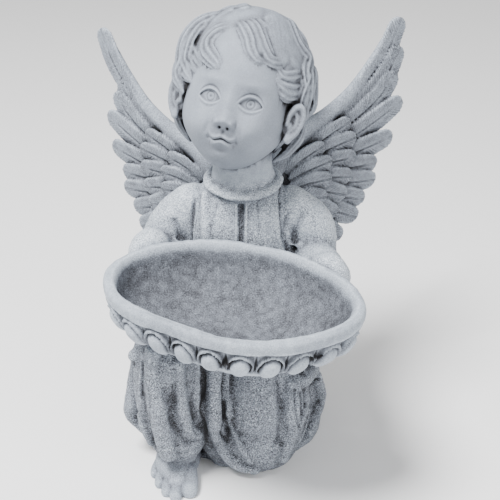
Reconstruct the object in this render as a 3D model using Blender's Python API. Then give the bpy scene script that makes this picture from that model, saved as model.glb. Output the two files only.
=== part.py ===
"""A kneeling cherub that holds an oval bowl on its knees: one casting in stone-grey resin.

The figure faces -Y and +Z is up. The origin is on the flat underside, below the middle of the body.
The pose and the carving are written in figure units. One figure unit is a three-hundredth of the
figure's height, so it is 1 mm on the figure as built. The bowl's own sizes are in metres.
Each mass of the casting is heaped up from simple closed shapes, melted together by a voxel remesh,
smoothed and thinned. Booleans then join the masses to one solid and cut it flat below.
"""

import math

import bmesh
import bpy
import numpy as np
from mathutils import Matrix, Vector
from mathutils.bvhtree import BVHTree

# Driving dimensions, in metres.
FIGURE_HEIGHT = 0.300
BOWL_WIDTH = 0.153
BOWL_DEPTH = 0.107
BOWL_HEIGHT = 0.046
BOWL_WALL = 0.0065
BOWL_FLOOR = 0.008
RIM_BAND = 0.0085
RIM_STEP = 0.0022
EGG_COUNT = 22
EGG_GAP = 0.0008

# One figure unit in metres.
UNIT = FIGURE_HEIGHT / 300.0

# Where the masses stand, in figure units.
HEAD_CENTRE = Vector((1.0, -8.0, 248.0))
HEAD_SHARES = (1.0, 1.04, 1.1)
HEAD_PITCH = math.radians(20.0)
HEAD_ROLL = math.radians(9.0)
HEAD_YAW = math.radians(-8.0)
BOWL_CENTRE = Vector((-1.5, -82.0, 111.0))
BOWL_PITCH = math.radians(6.0)
BOWL_ROLL = math.radians(3.0)
BOWL_YAW = math.radians(-8.0)
BOWL_FULLNESS = 2.4
# Where the bowl's outline leaves a true oval: turn from +X and spread in degrees, and share of the radius.
BOWL_SWAYS = ((5, 25, 0.035), (185, 22, -0.03), (248, 32, -0.2), (310, 35, -0.05))
EGG_SHARE = 0.42
EGG_HEIGHT = 4.6
EGG_GROOVE = 1.0
EGG_DROOP = 0.35
SLIT_X = 2.5
SLIT_TOP = 181.0
SLIT_END = 158.0
SLIT_RADIUS = 1.7
COLLAR_WIDTH = 6.6
COLLAR_THICKNESS = 5.6
COLLAR_LEAN = 1.0
WING_ROOT_Y = 23.0
WING_SWEEP = 0.62
WING_SPAN = 96.0
LEFT_WING_DROOP = 11.0
LEFT_WING_SAG = 5.0
LEFT_WING_TRIM = (1.0, 0.74, 0.86, 0.9, 0.95)

# How fine the masses are: voxel in figure units, smoothing steps and triangles kept.
BODY_GRAIN = (2.2, 4, 2250)
HEAD_GRAIN = (None, 0, 950)
HAIR_GRAIN = (1.8, 1, 1500)
WING_GRAIN = (1.2, 0, 1250)
BOWL_GRAIN = (None, 0, 1400)
LIMB_GRAIN = (1.3, 1, 180)
SLIT_GRAIN = (None, 0, 120)

STONE = (0.47, 0.49, 0.52, 1.0)


# Closed shapes. Each is a pair: points in figure units, and faces.


def blob(centre, radii, turn=(0.0, 0.0, 0.0), cuts=3):
    """An ellipsoid, turned by Euler angles in degrees."""
    mesh = bmesh.new()
    bmesh.ops.create_icosphere(mesh, subdivisions=cuts, radius=1.0)
    mesh.verts.ensure_lookup_table()
    points = np.array([v.co for v in mesh.verts]) * np.array(radii)
    faces = [[v.index for v in f.verts] for f in mesh.faces]
    mesh.free()
    turned = Matrix.Identity(3)
    for angle, axis in zip(turn, "XYZ"):
        turned = Matrix.Rotation(math.radians(angle), 3, axis) @ turned
    return points @ np.array(turned).T + np.array(centre), faces


def stack(rings):
    """A skin over closed rings of equal counts, with a fan over each end."""
    rings = np.array(rings, float)
    count, sides = rings.shape[:2]
    points = np.concatenate([rings.reshape(-1, 3), [rings[0].mean(0), rings[-1].mean(0)]])
    faces = []
    for i in range(count - 1):
        for k in range(sides):
            n = (k + 1) % sides
            faces.append([i * sides + k, i * sides + n, (i + 1) * sides + n, (i + 1) * sides + k])
    last = (count - 1) * sides
    for k in range(sides):
        n = (k + 1) % sides
        faces.append([count * sides, n, k])
        faces.append([count * sides + 1, last + k, last + n])
    return points, faces


def smooth_path(points, steps):
    """Points on a Catmull-Rom curve through the given rows, which may hold more than three values."""
    rows = np.array(points, float)
    padded = np.concatenate([[2 * rows[0] - rows[1]], rows, [2 * rows[-1] - rows[-2]]])
    found = []
    for i in range(len(rows) - 1):
        a, b, c, d = padded[i : i + 4]
        for t in np.arange(steps) / steps:
            found.append(
                0.5 * (2 * b + (c - a) * t + (2 * a - 5 * b + 4 * c - d) * t**2
                       + (3 * b - a - 3 * c + d) * t**3)
            )
    return np.array(found + [rows[-1]])


def rod(points, radii, flat=1.0, facing=(0, -1, 0), sides=12, steps=5, flutes=0, groove=0.0):
    """A round-ended rod along a smooth curve.

    Its section is as wide as the radius, and flat times as thick towards facing.
    """
    rows = smooth_path(np.column_stack([points, radii]), steps)
    path, reach = rows[:, :3], np.maximum(rows[:, 3], 0.15)
    along = np.gradient(path, axis=0)
    along /= np.linalg.norm(along, axis=1)[:, None]
    caps = (0.0, 0.35, 0.7, 0.93)
    head = [(path[0] - along[0] * reach[0] * math.sqrt(1 - c * c), along[0], reach[0] * c) for c in caps]
    tail = [(path[-1] + along[-1] * reach[-1] * math.sqrt(1 - c * c), along[-1], reach[-1] * c) for c in caps]
    spine = head[1:] + list(zip(path, along, reach)) + tail[:0:-1]
    angles = np.arange(sides) * 2 * math.pi / sides
    wave = 1.0 - groove * (0.5 + 0.5 * np.cos(flutes * angles)) if flutes else np.ones(sides)
    rings = []
    for place, forward, radius in spine:
        across = np.cross(forward, facing)
        across /= max(np.linalg.norm(across), 1e-6)
        out = np.cross(across, forward)
        ring = np.outer(np.cos(angles) * wave, across) + np.outer(np.sin(angles) * wave * flat, out)
        rings.append(place + ring * radius)
    return stack(rings)


def merged(shapes):
    """Several closed shapes as one pair of points and faces."""
    points, faces, start = [], [], 0
    for some_points, some_faces in shapes:
        points.append(some_points)
        faces += [[i + start for i in face] for face in some_faces]
        start += len(some_points)
    return np.concatenate(points), faces


def surface_of(shapes):
    points, faces = merged(shapes)
    return BVHTree.FromPolygons([Vector(p) for p in points], faces)


def draped(surface, points, radii, look=(0, 1, 0), sink=0.35, missed=0.0, **shape):
    """A rod laid on a surface, seen along look.

    The points are given in the plane across look: (x, z) from the front or back, (y, z) from a side.
    Where nothing is hit the rod runs at the depth missed.
    """
    look = Vector(look)
    depth_axis = 0 if abs(look.x) > 0.5 else 1
    path = []
    for (a, b), radius in zip(points, radii):
        start = Vector((a, 0.0, b)) if depth_axis else Vector((0.0, a, b))
        start -= look * 300.0
        hit = surface.ray_cast(start, look)[0]
        place = Vector(start)
        place[depth_axis] = missed if hit is None else hit[depth_axis]
        path.append(place + look * radius * (2 * sink - 1) * shape.get("flat", 1.0))
    return rod([tuple(p) for p in path], radii, facing=tuple(-look), **shape)


def bump(across, up):
    """A round hill of height one, from distances in hill widths."""
    return np.exp(-(across**2 + up**2))


# The head. Its own frame has the face towards -Y, and its middle at the origin.


def eye_relief(x, z):
    """Relief of one eye and its lids, about the middle of the eye."""
    upper = 3.7 * (1 - (x / 6.4) ** 2)
    lower = -2.7 * (1 - (x / 6.4) ** 2)
    inside = 1 / (1 + np.exp(-(upper - z) / 0.35)) / (1 + np.exp(-(z - lower) / 0.35))
    inside = inside * (np.abs(x) < 6.4)
    ball = 2.4 * np.sqrt(np.clip(1 - (x**2 + z**2) / 64.0, 0, 1))
    span = np.clip(1 - (x / 7.6) ** 2, 0, 1)
    lids = 1.25 * np.exp(-(((z - upper - 0.6) / 0.8) ** 2)) + 0.9 * np.exp(-(((z - lower + 0.5) / 0.8) ** 2))
    crease = -0.7 * np.exp(-(((z - upper - 2.5) / 0.8) ** 2))
    return inside * (ball - 1.4) + (lids + crease) * span + 1.2 * span * bump(x / 7, z / 4.5)


def mouth_relief(x, z):
    """Relief of the lips, about the middle of the line between them."""
    line = 0.9 * np.cos(x * 0.55) - 0.5 - 0.012 * x**2
    above, below = z - line, line - z
    bow = 1 - 0.28 * np.exp(-((x / 1.5) ** 2))
    upper = 2.3 * bow * np.exp(-(((above - 1.5) / 1.35) ** 2)) * np.clip(1 - (x / 8.6) ** 2, 0, 1) ** 0.6
    lower = 2.7 * np.exp(-(((below - 2.1) / 1.8) ** 2)) * np.clip(1 - (x / 7.0) ** 2, 0, 1) ** 0.6
    parted = -1.5 * np.exp(-((above / 0.55) ** 2)) * np.clip(1 - (x / 8.8) ** 2, 0, 1)
    return upper + lower + parted - 1.1 * bump(x / 4.5, (z + 6.2) / 1.6)


def face_relief(x, z):
    """How far the face of a calm, round-cheeked child stands out from a plain egg shape."""
    side = np.abs(x)
    relief = 4.2 * bump((side - 15) / 10, (z + 17) / 10)
    relief += 4.2 * bump(x / 8.0, (z + 36) / 6) + 3.0 * bump(x / 12, (z + 25) / 8)
    relief += 1.4 * bump(x / 22, (z - 20) / 15)
    relief -= 4.0 * bump((side - 12.2) / 7.5, (z + 1) / 6.5)
    relief += 3.4 * bump(x / 4.3, (z + 4) / 10) + 7.0 * bump(x / 4.6, (z + 13.2) / 4.6)
    relief += 3.0 * bump((side - 4.8) / 2.4, (z + 14.8) / 2.6)
    relief -= 2.6 * bump((side - 2.4) / 1.1, (z + 17.6) / 0.9)
    relief -= 0.7 * bump(x / 1.5, (z + 19.6) / 2.0)
    relief += eye_relief(side - 12.2, z + 2.2 - 0.05 * (side - 12.2))
    return relief + mouth_relief(x, z + 24.5)


def head_shape(cuts=5):
    """The skull and face as an egg pushed out by the face's relief, and turned as the head is held."""
    points, faces = blob((0, 0, 0), (1, 1, 1), cuts=cuts)
    jaw = 1 - 0.14 * np.clip(-points[:, 2] - 0.2, 0, 1) ** 2
    egg = points * np.array((31.0, 34.0, 42.0))
    egg[:, 0] *= jaw
    front = np.clip((-points[:, 1] - 0.05) / 0.45, 0, 1)
    front = front * front * (3 - 2 * front)
    egg[:, 1] -= front * face_relief(egg[:, 0], egg[:, 2])
    return placed_head((egg, faces))


def placed_head(shape):
    """A shape in the head's frame, set on the neck with the head's tilt."""
    turn = (
        Matrix.Rotation(HEAD_YAW, 3, "Z") @ Matrix.Rotation(HEAD_ROLL, 3, "Y")
        @ Matrix.Rotation(-HEAD_PITCH, 3, "X")
    )
    points, faces = shape
    return (points * np.array(HEAD_SHARES)) @ np.array(turn).T + np.array(HEAD_CENTRE), faces


def ear(side):
    """One ear: a curled rim round a hollow, and a lobe."""
    rim = [(30, -1, -9), (32.5, 0, -2), (35, 4, 3), (36.5, 9, 0), (36, 10, -8), (34, 6, -15), (31, 1, -19)]
    path = [(side * x, y, z) for x, y, z in rim]
    return [
        rod(path, (1.2, 1.7, 2.0, 2.1, 2.0, 2.2, 2.0), facing=(side, 0, 0), sides=8, steps=3),
        blob((side * 31, 5, -7), (2.4, 5.5, 9), cuts=2),
        blob((side * 32.5, 2, -17), (2.2, 3.2, 3.6), cuts=2),
    ]


# Locks of hair, seen from the front as (x, z) and radius. They are laid over the skull.
FRONT_LOCKS = (
    (((-1, 40), (-9, 34), (-15, 23), (-13, 13), (-7, 6)), (3.0, 5.0, 5.4, 4.4, 1.4)),
    (((-2, 42), (-16, 36), (-23, 24), (-21, 13), (-15, 7)), (3.0, 5.0, 5.2, 4.2, 1.6)),
    (((-3, 44), (-21, 38), (-30, 25), (-28, 13), (-22, 8)), (3.0, 5.0, 5.4, 4.4, 1.8)),
    (((-4, 45), (-25, 38), (-35, 22), (-34, 8), (-28, 3)), (3.0, 5.0, 5.4, 4.6, 2.0)),
    (((1, 40), (7, 33), (8, 23), (11, 15), (18, 11)), (3.0, 4.6, 5.0, 4.2, 1.6)),
    (((2, 42), (12, 35), (15, 25), (20, 17), (28, 14)), (3.0, 5.0, 5.0, 4.4, 1.8)),
    (((3, 44), (18, 37), (23, 27), (29, 19), (37, 18)), (3.0, 5.0, 5.2, 4.8, 2.2)),
    (((4, 45), (24, 38), (32, 26), (36, 14), (44, 12)), (3.0, 5.0, 5.4, 5.2, 2.4)),
)
SIDE_LOCKS = (
    (((30, 34), (38, 20), (37, 6), (41, -4), (36, -14)), (4.0, 5.6, 5.8, 5.4, 2.4)),
    (((34, 28), (42, 14), (40, 0), (44, -10), (37, -22)), (4.0, 5.6, 6.0, 5.6, 2.4)),
    (((26, 38), (37, 27), (34, 10), (38, -2), (33, -8)), (4.0, 5.4, 5.4, 4.6, 1.8)),
)


def hair_cap_point(turn, height, lift):
    """A point over the skull: turn in degrees from the face round to the side, height in degrees."""
    a, h = math.radians(turn), math.radians(height)
    across = math.cos(h)
    return (
        (36 + lift) * across * math.sin(a),
        7 - (37 + lift) * across * math.cos(a),
        4 + (40 + lift) * math.sin(h),
    )


# Rows of locks round the head: height of the root and of the tip in degrees, lift off the skull and radius.
BACK_LOCK_ROWS = ((84, -2, 1.0, 5.6), (70, -30, 2.5, 5.8), (35, -46, 2.0, 5.6))


def back_locks():
    """Wavy locks that fall from the crown over the sides and the back of the head."""
    locks = []
    for row, (top, end, lift, radius) in enumerate(BACK_LOCK_ROWS):
        for k in range(13):
            turn = 66 + 19 * k + 9 * (row % 2)
            sway = 9 * (1 if (k + row) % 2 else -1)
            heights = np.linspace(top, end, 6)
            swing = (0, 0.6, -0.5, 0.9, -0.6, 1.3)
            path = [
                hair_cap_point(turn + sway * s, h, lift + (1.5 if i % 2 else -0.5))
                for i, (h, s) in enumerate(zip(heights, swing))
            ]
            radii = np.array((0.5, 0.95, 1.0, 1.0, 0.85, 0.4)) * radius
            outward = Vector(path[3]) - Vector((0, 7, 4))
            locks.append(rod(path, radii, flat=0.62, facing=tuple(outward.normalized()),
                             flutes=5, groove=0.16, steps=4))
    return locks


def hair_shape():
    """The hair: a cap over the skull with locks on it, and the ears that show through."""
    cap = blob((0, 8, 5), (36, 37, 40), cuts=4)
    skull = [cap, blob((0, 0, 0), (31, 34, 42), cuts=4)]
    surface = surface_of(skull)
    shapes = [cap]
    for path, radii in FRONT_LOCKS:
        shapes.append(draped(surface, path, radii, flat=0.7, sink=0.3, missed=-4, flutes=5, groove=0.16))
    for side in (-1, 1):
        shapes += ear(side)
        for depth, (path, radii) in zip((-6, 4, -12), SIDE_LOCKS):
            points = [(side * x * (1.0 if side < 0 else 0.95), depth, z) for x, z in path]
            shapes.append(rod(points, radii, flat=0.8, facing=(side, -0.4, 0), flutes=5, groove=0.16))
    return placed_head(merged(shapes + back_locks()))


# The wings. Feathers are set out in a front view of the right wing, on a sheet that sweeps back.
LEADING_EDGE = (
    ((8, 166), 9.0), ((26, 191), 8.5), ((40, 204), 7.4), ((54, 212), 6.2),
    ((69, 225), 5.0), ((81, 241), 4.2), ((91, 257), 3.6), ((96, 266), 3.0),
)
LONG_FEATHERS = (
    ((44, 198), (72, 224), (89, 245), (97, 265), 8.6),
    ((44, 193), (72, 214), (90, 231), (97, 245), 9.2),
    ((44, 188), (70, 204), (86, 217), (94, 228), 9.4),
    ((43, 182), (68, 192), (86, 202), (98, 210), 9.6),
    ((42, 176), (66, 180), (82, 184), (92, 187), 9.6),
    ((41, 170), (60, 171), (72, 171), (82, 171), 9.2),
    ((40, 164), (60, 162), (72, 160), (82, 159), 8.8),
    ((38, 158), (54, 154), (66, 150), (75, 147), 8.6),
    ((36, 152), (51, 146), (62, 140), (71, 135), 8.4),
    ((33, 146), (44, 138), (54, 130), (61, 123), 8.0),
    ((28, 140), (36, 130), (43, 120), (48, 112), 7.4),
)
COVERT_TIPS = ((62, 204), (66, 193), (66, 180), (64, 167), (61, 155), (55, 143), (45, 131))
SMALL_COVERT_TIPS = ((44, 192), (49, 181), (49, 169), (46, 157), (39, 146))
COVERT_REACH = (25, 18)
COVERT_SLOPE = 34.0
COVERT_TURN = 13.0


def left_wing_fall(x):
    """How much lower the left wing is held than the right one, at a distance from the spine."""
    return LEFT_WING_DROOP * x / WING_SPAN + LEFT_WING_SAG * math.sin(math.pi * min(x / WING_SPAN, 1.0))


def wing_point(x, z, side, lift=0.0):
    """A point of the wing's sheet, lifted towards the front."""
    across = math.hypot(1.0, WING_SWEEP)
    return (
        side * (x + lift * WING_SWEEP / across),
        WING_ROOT_Y + WING_SWEEP * x - lift / across,
        z - (left_wing_fall(x) if side < 0 else 0.0),
    )


def feather(points, half_width, side, lifts, thickness=1.9, twist=0.25):
    """One feather: a flat blade with a round end, turned a little so that it overlaps the next."""
    path = [wing_point(x, z, side, lift) for (x, z), lift in zip(points, lifts)]
    widths = np.interp(np.linspace(0, 1, len(path)), (0, 0.5, 0.85, 1), (0.75, 1.0, 1.0, 0.85)) * half_width
    face = (side * WING_SWEEP, -1.0, -twist if lifts[-1] >= 0 else twist)
    return rod(path, widths, flat=thickness / half_width, facing=face, sides=10, steps=4)


def wing_shape(side):
    """One wing: its bony leading edge, the long feathers and two rows of coverts on both faces."""
    edge = [wing_point(x, z, side) for (x, z), _ in LEADING_EDGE]
    shapes = [rod(edge, [r for _, r in LEADING_EDGE], flat=0.75, facing=(side * WING_SWEEP, -1, 0))]
    web = [wing_point(x, z, side) for x, z in ((20, 150), (34, 168), (46, 188), (56, 205))]
    shapes.append(rod(web, (14, 18, 16, 9), flat=0.14, facing=(side * WING_SWEEP, -1, 0)))
    for k, (root, *rest, width) in enumerate(LONG_FEATHERS):
        share = LEFT_WING_TRIM[k] if side < 0 and k < len(LEFT_WING_TRIM) else 1.0
        points = [root] + [tuple(a + (b - a) * share for a, b in zip(root, point)) for point in rest]
        shapes.append(feather(points, width, side, (-0.5, 0.0, 0.6, 1.0)))
    for face in (1, -1):
        for row, tips in enumerate((COVERT_TIPS, SMALL_COVERT_TIPS)):
            for k, (x, z) in enumerate(tips):
                slope = math.radians(COVERT_SLOPE - COVERT_TURN * k)
                reach = COVERT_REACH[row]
                root = (x - reach * math.cos(slope), z - reach * math.sin(slope))
                middle = ((x + root[0]) / 2, (z + root[1]) / 2 + 1.0)
                height = 3.4 + 2.8 * row
                lifts = [face * h for h in (height - 2.2, height - 0.4, height + 0.2)]
                shapes.append(feather((root, middle, (x, z)), 7.8 - 0.3 * row, side, lifts, thickness=1.7))
    return merged(shapes)


# The bowl. Its own frame has the rim's plane at z = 0 and the outside of its foot below.


def oval(half_width, half_depth, height, sides=72):
    angles = np.arange(sides) * 2 * math.pi / sides
    return np.column_stack([half_width * np.cos(angles), half_depth * np.sin(angles), np.full(sides, height)])


def egg_relief(across, down):
    """Height of the egg moulding in figure units, where across and down run from -1 to 1 over one egg."""
    dome = np.sqrt(np.clip(1 - (across / 0.92) ** 2 - (down / 0.96) ** 2, 0, 1))
    return EGG_HEIGHT * dome - EGG_GROOVE * np.clip(np.abs(across) * 4 - 3, 0, 1) * (1 - down**2)


def vessel_ring(turn, inset, depth):
    """The bowl's skin at a turn from its bottom, 0, to its brim, 90: share of the rim, inset and height."""
    turn = math.radians(turn)
    return math.sin(turn) ** (2 / BOWL_FULLNESS), inset, -depth * math.cos(turn)


def lip_ring(inset, height):
    """A ring of the rim's band or lip."""
    return 1.0, inset, height


def bowl_rings(outer_rows, inner_rows):
    """Rings from the foot up the outside, over the lip and down the inside: share, inset and height."""
    below_band = math.degrees(math.acos(RIM_BAND / BOWL_HEIGHT))
    outside = [vessel_ring(turn, RIM_STEP, BOWL_HEIGHT) for turn in np.linspace(8, below_band, outer_rows)]
    lip = [
        lip_ring(RIM_STEP * 0.2, -RIM_BAND), lip_ring(0.0, -RIM_BAND * 0.75), lip_ring(0.0, -RIM_BAND * 0.3),
        lip_ring(BOWL_WALL * 0.15, -RIM_BAND * 0.08), lip_ring(BOWL_WALL * 0.45, 0.0),
        lip_ring(BOWL_WALL * 0.8, -RIM_BAND * 0.05),
    ]
    hollow = BOWL_HEIGHT - BOWL_FLOOR
    inside = [vessel_ring(turn, BOWL_WALL, hollow) for turn in np.linspace(84, 8, inner_rows)]
    return outside + lip + inside


def rim_points(angles):
    """The rim's outer edge: an oval with the sways of its outline, in metres."""
    share = np.ones(len(angles))
    for turn, spread, amount in BOWL_SWAYS:
        away = (angles - math.radians(turn) + math.pi) % (2 * math.pi) - math.pi
        share += amount * np.exp(-((away / math.radians(spread)) ** 2))
    oval_points = np.column_stack([BOWL_WIDTH / 2 * np.cos(angles), BOWL_DEPTH / 2 * np.sin(angles)])
    return oval_points * share[:, None]


def bowl_columns(count):
    """Even steps along the rim: its points, and the way out of the wall at each."""
    fine = np.linspace(0, 2 * math.pi, 2881)
    travelled = np.concatenate([[0], np.cumsum(np.linalg.norm(np.diff(rim_points(fine), axis=0), axis=1))])
    rim = rim_points(np.interp(np.arange(count) / count * travelled[-1], travelled, fine))
    along = np.roll(rim, -1, axis=0) - np.roll(rim, 1, axis=0)
    out = np.column_stack([along[:, 1], -along[:, 0]])
    return rim, out / np.linalg.norm(out, axis=1)[:, None]


def placed_bowl(shape):
    """A shape in the bowl's frame, set on the knees with its tilt: its foot stays where they carry it."""
    turn = (
        Matrix.Rotation(BOWL_YAW, 3, "Z") @ Matrix.Rotation(BOWL_ROLL, 3, "Y")
        @ Matrix.Rotation(BOWL_PITCH, 3, "X")
    )
    points, faces = shape
    lifted = points + np.array((0, 0, BOWL_HEIGHT / UNIT))
    return lifted @ np.array(turn).T + np.array(BOWL_CENTRE), faces


def bowl_shape(columns=6, outer_rows=16, inner_rows=9):
    """The bowl, hollow to its floor, with a row of eggs below its rim."""
    rim, out = bowl_columns(EGG_COUNT * columns)
    across = 1 - 2 * ((np.arange(len(rim)) / columns) % 1.0)
    eggs_top, eggs_tall = -RIM_BAND - EGG_GAP, EGG_SHARE * BOWL_HEIGHT
    rings = []
    for index, (share, inset, height) in enumerate(bowl_rings(outer_rows, inner_rows)):
        ring = np.column_stack([(rim - out * inset) * share, np.full(len(rim), height)]) / UNIT
        down = 2 * (eggs_top - height) / eggs_tall - 1
        if index < outer_rows and abs(down) < 1:
            proud = egg_relief(across, down)
            ring[:, :2] += out * proud[:, None]
            ring[:, 2] -= proud * EGG_DROOP
        rings.append(ring)
    return placed_bowl(stack(rings))


def bowl_side_point(side, share, down, forward):
    """A point outside the bowl's end, in the figure's frame, in figure units."""
    local = np.array([[side * BOWL_WIDTH / 2 / UNIT * share, forward, -down]])
    return tuple(placed_bowl((local, []))[0][0])


# The body and its robe.


def body_masses():
    """The large forms under the cloth: trunk, shoulders, skirt, thighs, knees and shins."""
    trunk = [
        (0, 2, 60, 47, 42), (1, 1, 85, 42, 36), (1, 0, 110, 38, 31), (1, -1, 135, 39, 29),
        (1, -1, 155, 41, 27.5), (1, 0, 168, 38, 25), (1, 0, 179, 30, 21), (1, -1, 189, 22, 18),
    ]
    skirt = [
        (-1, 6, -4, 56, 50), (-1, 6, 8, 57, 50), (-1, 5, 25, 56, 47), (-1, 4, 45, 53, 43),
        (0, 2, 65, 49, 39), (0, 0, 85, 44, 35),
    ]
    shapes = []
    for sections in (trunk, skirt):
        shapes.append(stack([oval(w, d, 0, sides=40) + np.array((x, y, z)) for x, y, z, w, d in sections]))
    shapes += [
        rod([(-20, 4, 78), (-32, -30, 90), (-40, -58, 93)], (26, 25, 21)),
        rod([(-41, -60, 94), (-42, -57, 62), (-37, -54, 30)], (22, 21, 19)),
        blob((16, -30, 44), (32, 33, 58)),
        blob((12, -38, 24), (30, 26, 30)),
        rod([(32, -8, 72), (36, -4, 38), (37, 8, 6)], (19, 19, 16)),
        rod([(-17, -48, 92), (-17, -50, 60), (-13, -45, 28), (-8, -42, 8)], (15, 15, 14, 11)),
        rod([(-52, -28, 70), (-56, -30, 40), (-52, -26, 16)], (16, 17, 14)),
    ]
    return shapes


# Folds seen from the front as (x, z) and radius, laid over the masses.
FRONT_FOLDS = (
    (((-47, 106), (-46, 72), (-43, 44), (-41, 27)), (5.5, 6.5, 6.5, 6.0)),
    (((-31, 100), (-31, 68), (-27, 46), (-22, 37)), (3.6, 4.0, 3.8, 2.6)),
    (((-22, 96), (-23, 70), (-21, 50)), (2.4, 2.8, 2.2)),
    (((-11, 95), (-12, 68), (-12, 48), (-9, 28), (0, 13), (14, 7)), (4.4, 4.8, 5.0, 5.2, 4.8, 3.6)),
    (((-2, 94), (-4, 60), (-2, 44), (4, 29), (11, 16)), (2.0, 2.4, 2.4, 2.4, 1.8)),
    (((32, 96), (36, 62), (37, 40), (32, 15)), (4.6, 5.6, 5.4, 4.0)),
    (((42, 76), (45, 58), (44, 43), (38, 28)), (2.2, 2.6, 2.6, 2.0)),
    (((36, 69), (44, 66), (50, 59)), (4.4, 5.0, 4.4)),
    (((52, 52), (54, 28), (48, 10)), (4.6, 5.2, 4.0)),
    (((-60, 98), (-64, 74), (-68, 46), (-69, 34), (-61, 24)), (4.4, 5.0, 6.2, 6.0, 4.4)),
    (((-53, 102), (-55, 80), (-57, 52), (-53, 30)), (2.6, 3.2, 3.8, 3.0)),
    (((-22, 183), (-20, 165), (-19, 150), (-20, 130)), (2.4, 3.0, 3.2, 3.0)),
    (((-11, 180), (-12, 162), (-13, 146), (-13, 130)), (1.8, 2.4, 2.6, 2.4)),
    (((15, 180), (16, 162), (16, 146), (17, 130)), (1.8, 2.4, 2.6, 2.4)),
    (((25, 182), (25, 164), (25, 148), (26, 130)), (2.4, 3.0, 3.2, 3.0)),
)
# Folds of the back, as (x, z) and radius. They spread from between the shoulders.
BACK_FOLD_FALL = ((0.45, 150), (0.7, 105), (0.95, 60), (1.12, 20), (1.15, 2))
BACK_FOLDS = tuple(
    (tuple((x * spread, z) for spread, z in BACK_FOLD_FALL), (2.4, 3.6, 4.8, 5.4, 5.0))
    for x in (-44, -30, -15, 0, 15, 31, 45)
)


# Where the wrists are held: share of the bowl's half-width, depth below its rim, distance behind its middle.
WRISTS = {-1: (0.79, 11, 47), 1: (0.66, 12, 50)}
ELBOW_OUT = {-1: 49.0, 1: 45.0}


def sleeve(side):
    """Shoulder, upper arm and forearm in a wide sleeve that ends in a turned cuff by the bowl."""
    wrist = bowl_side_point(side, *WRISTS[side])
    out = ELBOW_OUT[side]
    elbow = (side * out, -1, 139)
    arm = rod([(side * 31 + 1, 1, 168), (side * 42 + 1, 0, 156), elbow], (16, 17.5, 17.5))
    reach = [elbow, (side * (out + 3), -14, 139), wrist]
    forearm = rod(reach, (17, 15.5, 12))
    cuff_end = tuple(np.array(wrist) + np.array((side * 1.5, -4.0, -1.0)))
    cuff = rod([wrist, cuff_end], (12.5, 12.5))
    hanging = rod([(side * (out + 2), -6, 132), (side * (out + 4), -12, 114), (side * (out + 4), -18, 102)],
                  (13, 11, 7))
    return [arm, forearm, cuff, hanging]


def sleeve_folds(side):
    """Creases round the bend of the elbow."""
    out = ELBOW_OUT[side]
    rings = []
    for k, (y, z, drop) in enumerate(((-6, 146, 1.5), (-12, 140, 2.7), (-20, 136, 3.9))):
        points = [(side * (out - 11 + 4 * k), y - 14, z + 8), (side * (out + 8), y - 8, z + 4 - drop),
                  (side * (out + 16), y + 3, z - 8), (side * (out + 11), y + 10, z - 16)]
        rings.append(rod(points, (1.5, 2.4, 2.6, 1.5), facing=(side, 0, 0.5)))
    return rings


def hoop(rings):
    """A closed skin over rings whose last joins the first."""
    rings = np.array(rings)
    count, sides = rings.shape[:2]
    faces = []
    for i in range(count):
        j = (i + 1) % count
        for k in range(sides):
            n = (k + 1) % sides
            faces.append([i * sides + k, i * sides + n, j * sides + n, j * sides + k])
    return rings.reshape(-1, 3), faces


def collar(steps=26, sides=8):
    """The flat band round the neck of the robe. It leans outward with the shoulders."""
    section = (np.arange(sides) + 0.5) * 2 * math.pi / sides
    wide, thick = COLLAR_WIDTH / 2 * np.cos(section), COLLAR_THICKNESS / 2 * np.sin(section)
    lean = math.hypot(1.0, COLLAR_LEAN)
    rings = []
    for angle in np.arange(steps) * 2 * math.pi / steps:
        way = np.array((math.sin(angle), -math.cos(angle), 0.0))
        middle = np.array((2, -2, 190 - 3.5 * math.cos(angle))) + way * (23 - 2 * abs(way[1]))
        down = (way - np.array((0, 0, COLLAR_LEAN))) / lean
        out = (way * COLLAR_LEAN + np.array((0, 0, 1.0))) / lean
        rings.append(middle + np.outer(wide, down) + np.outer(thick, out))
    return hoop(rings)


def neck():
    return rod([(2, 0, 176), (2, -3, 200), (1, -8, 226)], (23, 18.5, 18.5), steps=4)


def robe_shape():
    masses = body_masses()
    sleeves = sleeve(-1) + sleeve(1)
    surface = surface_of(masses)
    folds = [draped(surface, path, radii) for path, radii in FRONT_FOLDS]
    folds += [draped(surface, path, radii, look=(0, -1, 0)) for path, radii in BACK_FOLDS]
    return merged(masses + sleeves + sleeve_folds(-1) + sleeve_folds(1) + folds + [collar(), neck()])


def neck_slit():
    """A rod that cuts the slit below the collar, half sunk in the chest."""
    chest = surface_of(body_masses())
    points = ((SLIT_X, SLIT_TOP), (SLIT_X, (SLIT_TOP + SLIT_END) / 2), (SLIT_X, SLIT_END))
    return draped(chest, points, (SLIT_RADIUS,) * 3, sink=0.3, flat=1.6, sides=8, steps=2)


# Hands and feet.


def hand(side):
    """A hand under the end of the bowl, its fingers spread along the moulding and the thumb on the rim."""
    palm = bowl_side_point(side, 0.8, 21, 28)
    shapes = [blob(palm, (8, 13, 7.5), (0, 0, side * 25))]
    for k in range(4):
        start = bowl_side_point(side, 0.84 - 0.04 * k, 19 + 4.0 * k, 24)
        bend = bowl_side_point(side, 0.9 - 0.05 * k, 21 + 4.2 * k, 9 + 1.5 * k)
        end = bowl_side_point(side, 0.86 - 0.06 * k, 22 + 4.4 * k, -5 + 2.5 * k)
        shapes.append(rod([start, bend, end], (3.4, 3.3, 2.8), sides=8, steps=3))
    thumb = [bowl_side_point(side, s, d, f) for s, d, f in ((0.82, 15, 34), (0.9, 13, 26), (0.95, 14, 14))]
    shapes.append(rod(thumb, (3.8, 3.6, 2.9), sides=8, steps=3))
    return merged(shapes)


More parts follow.
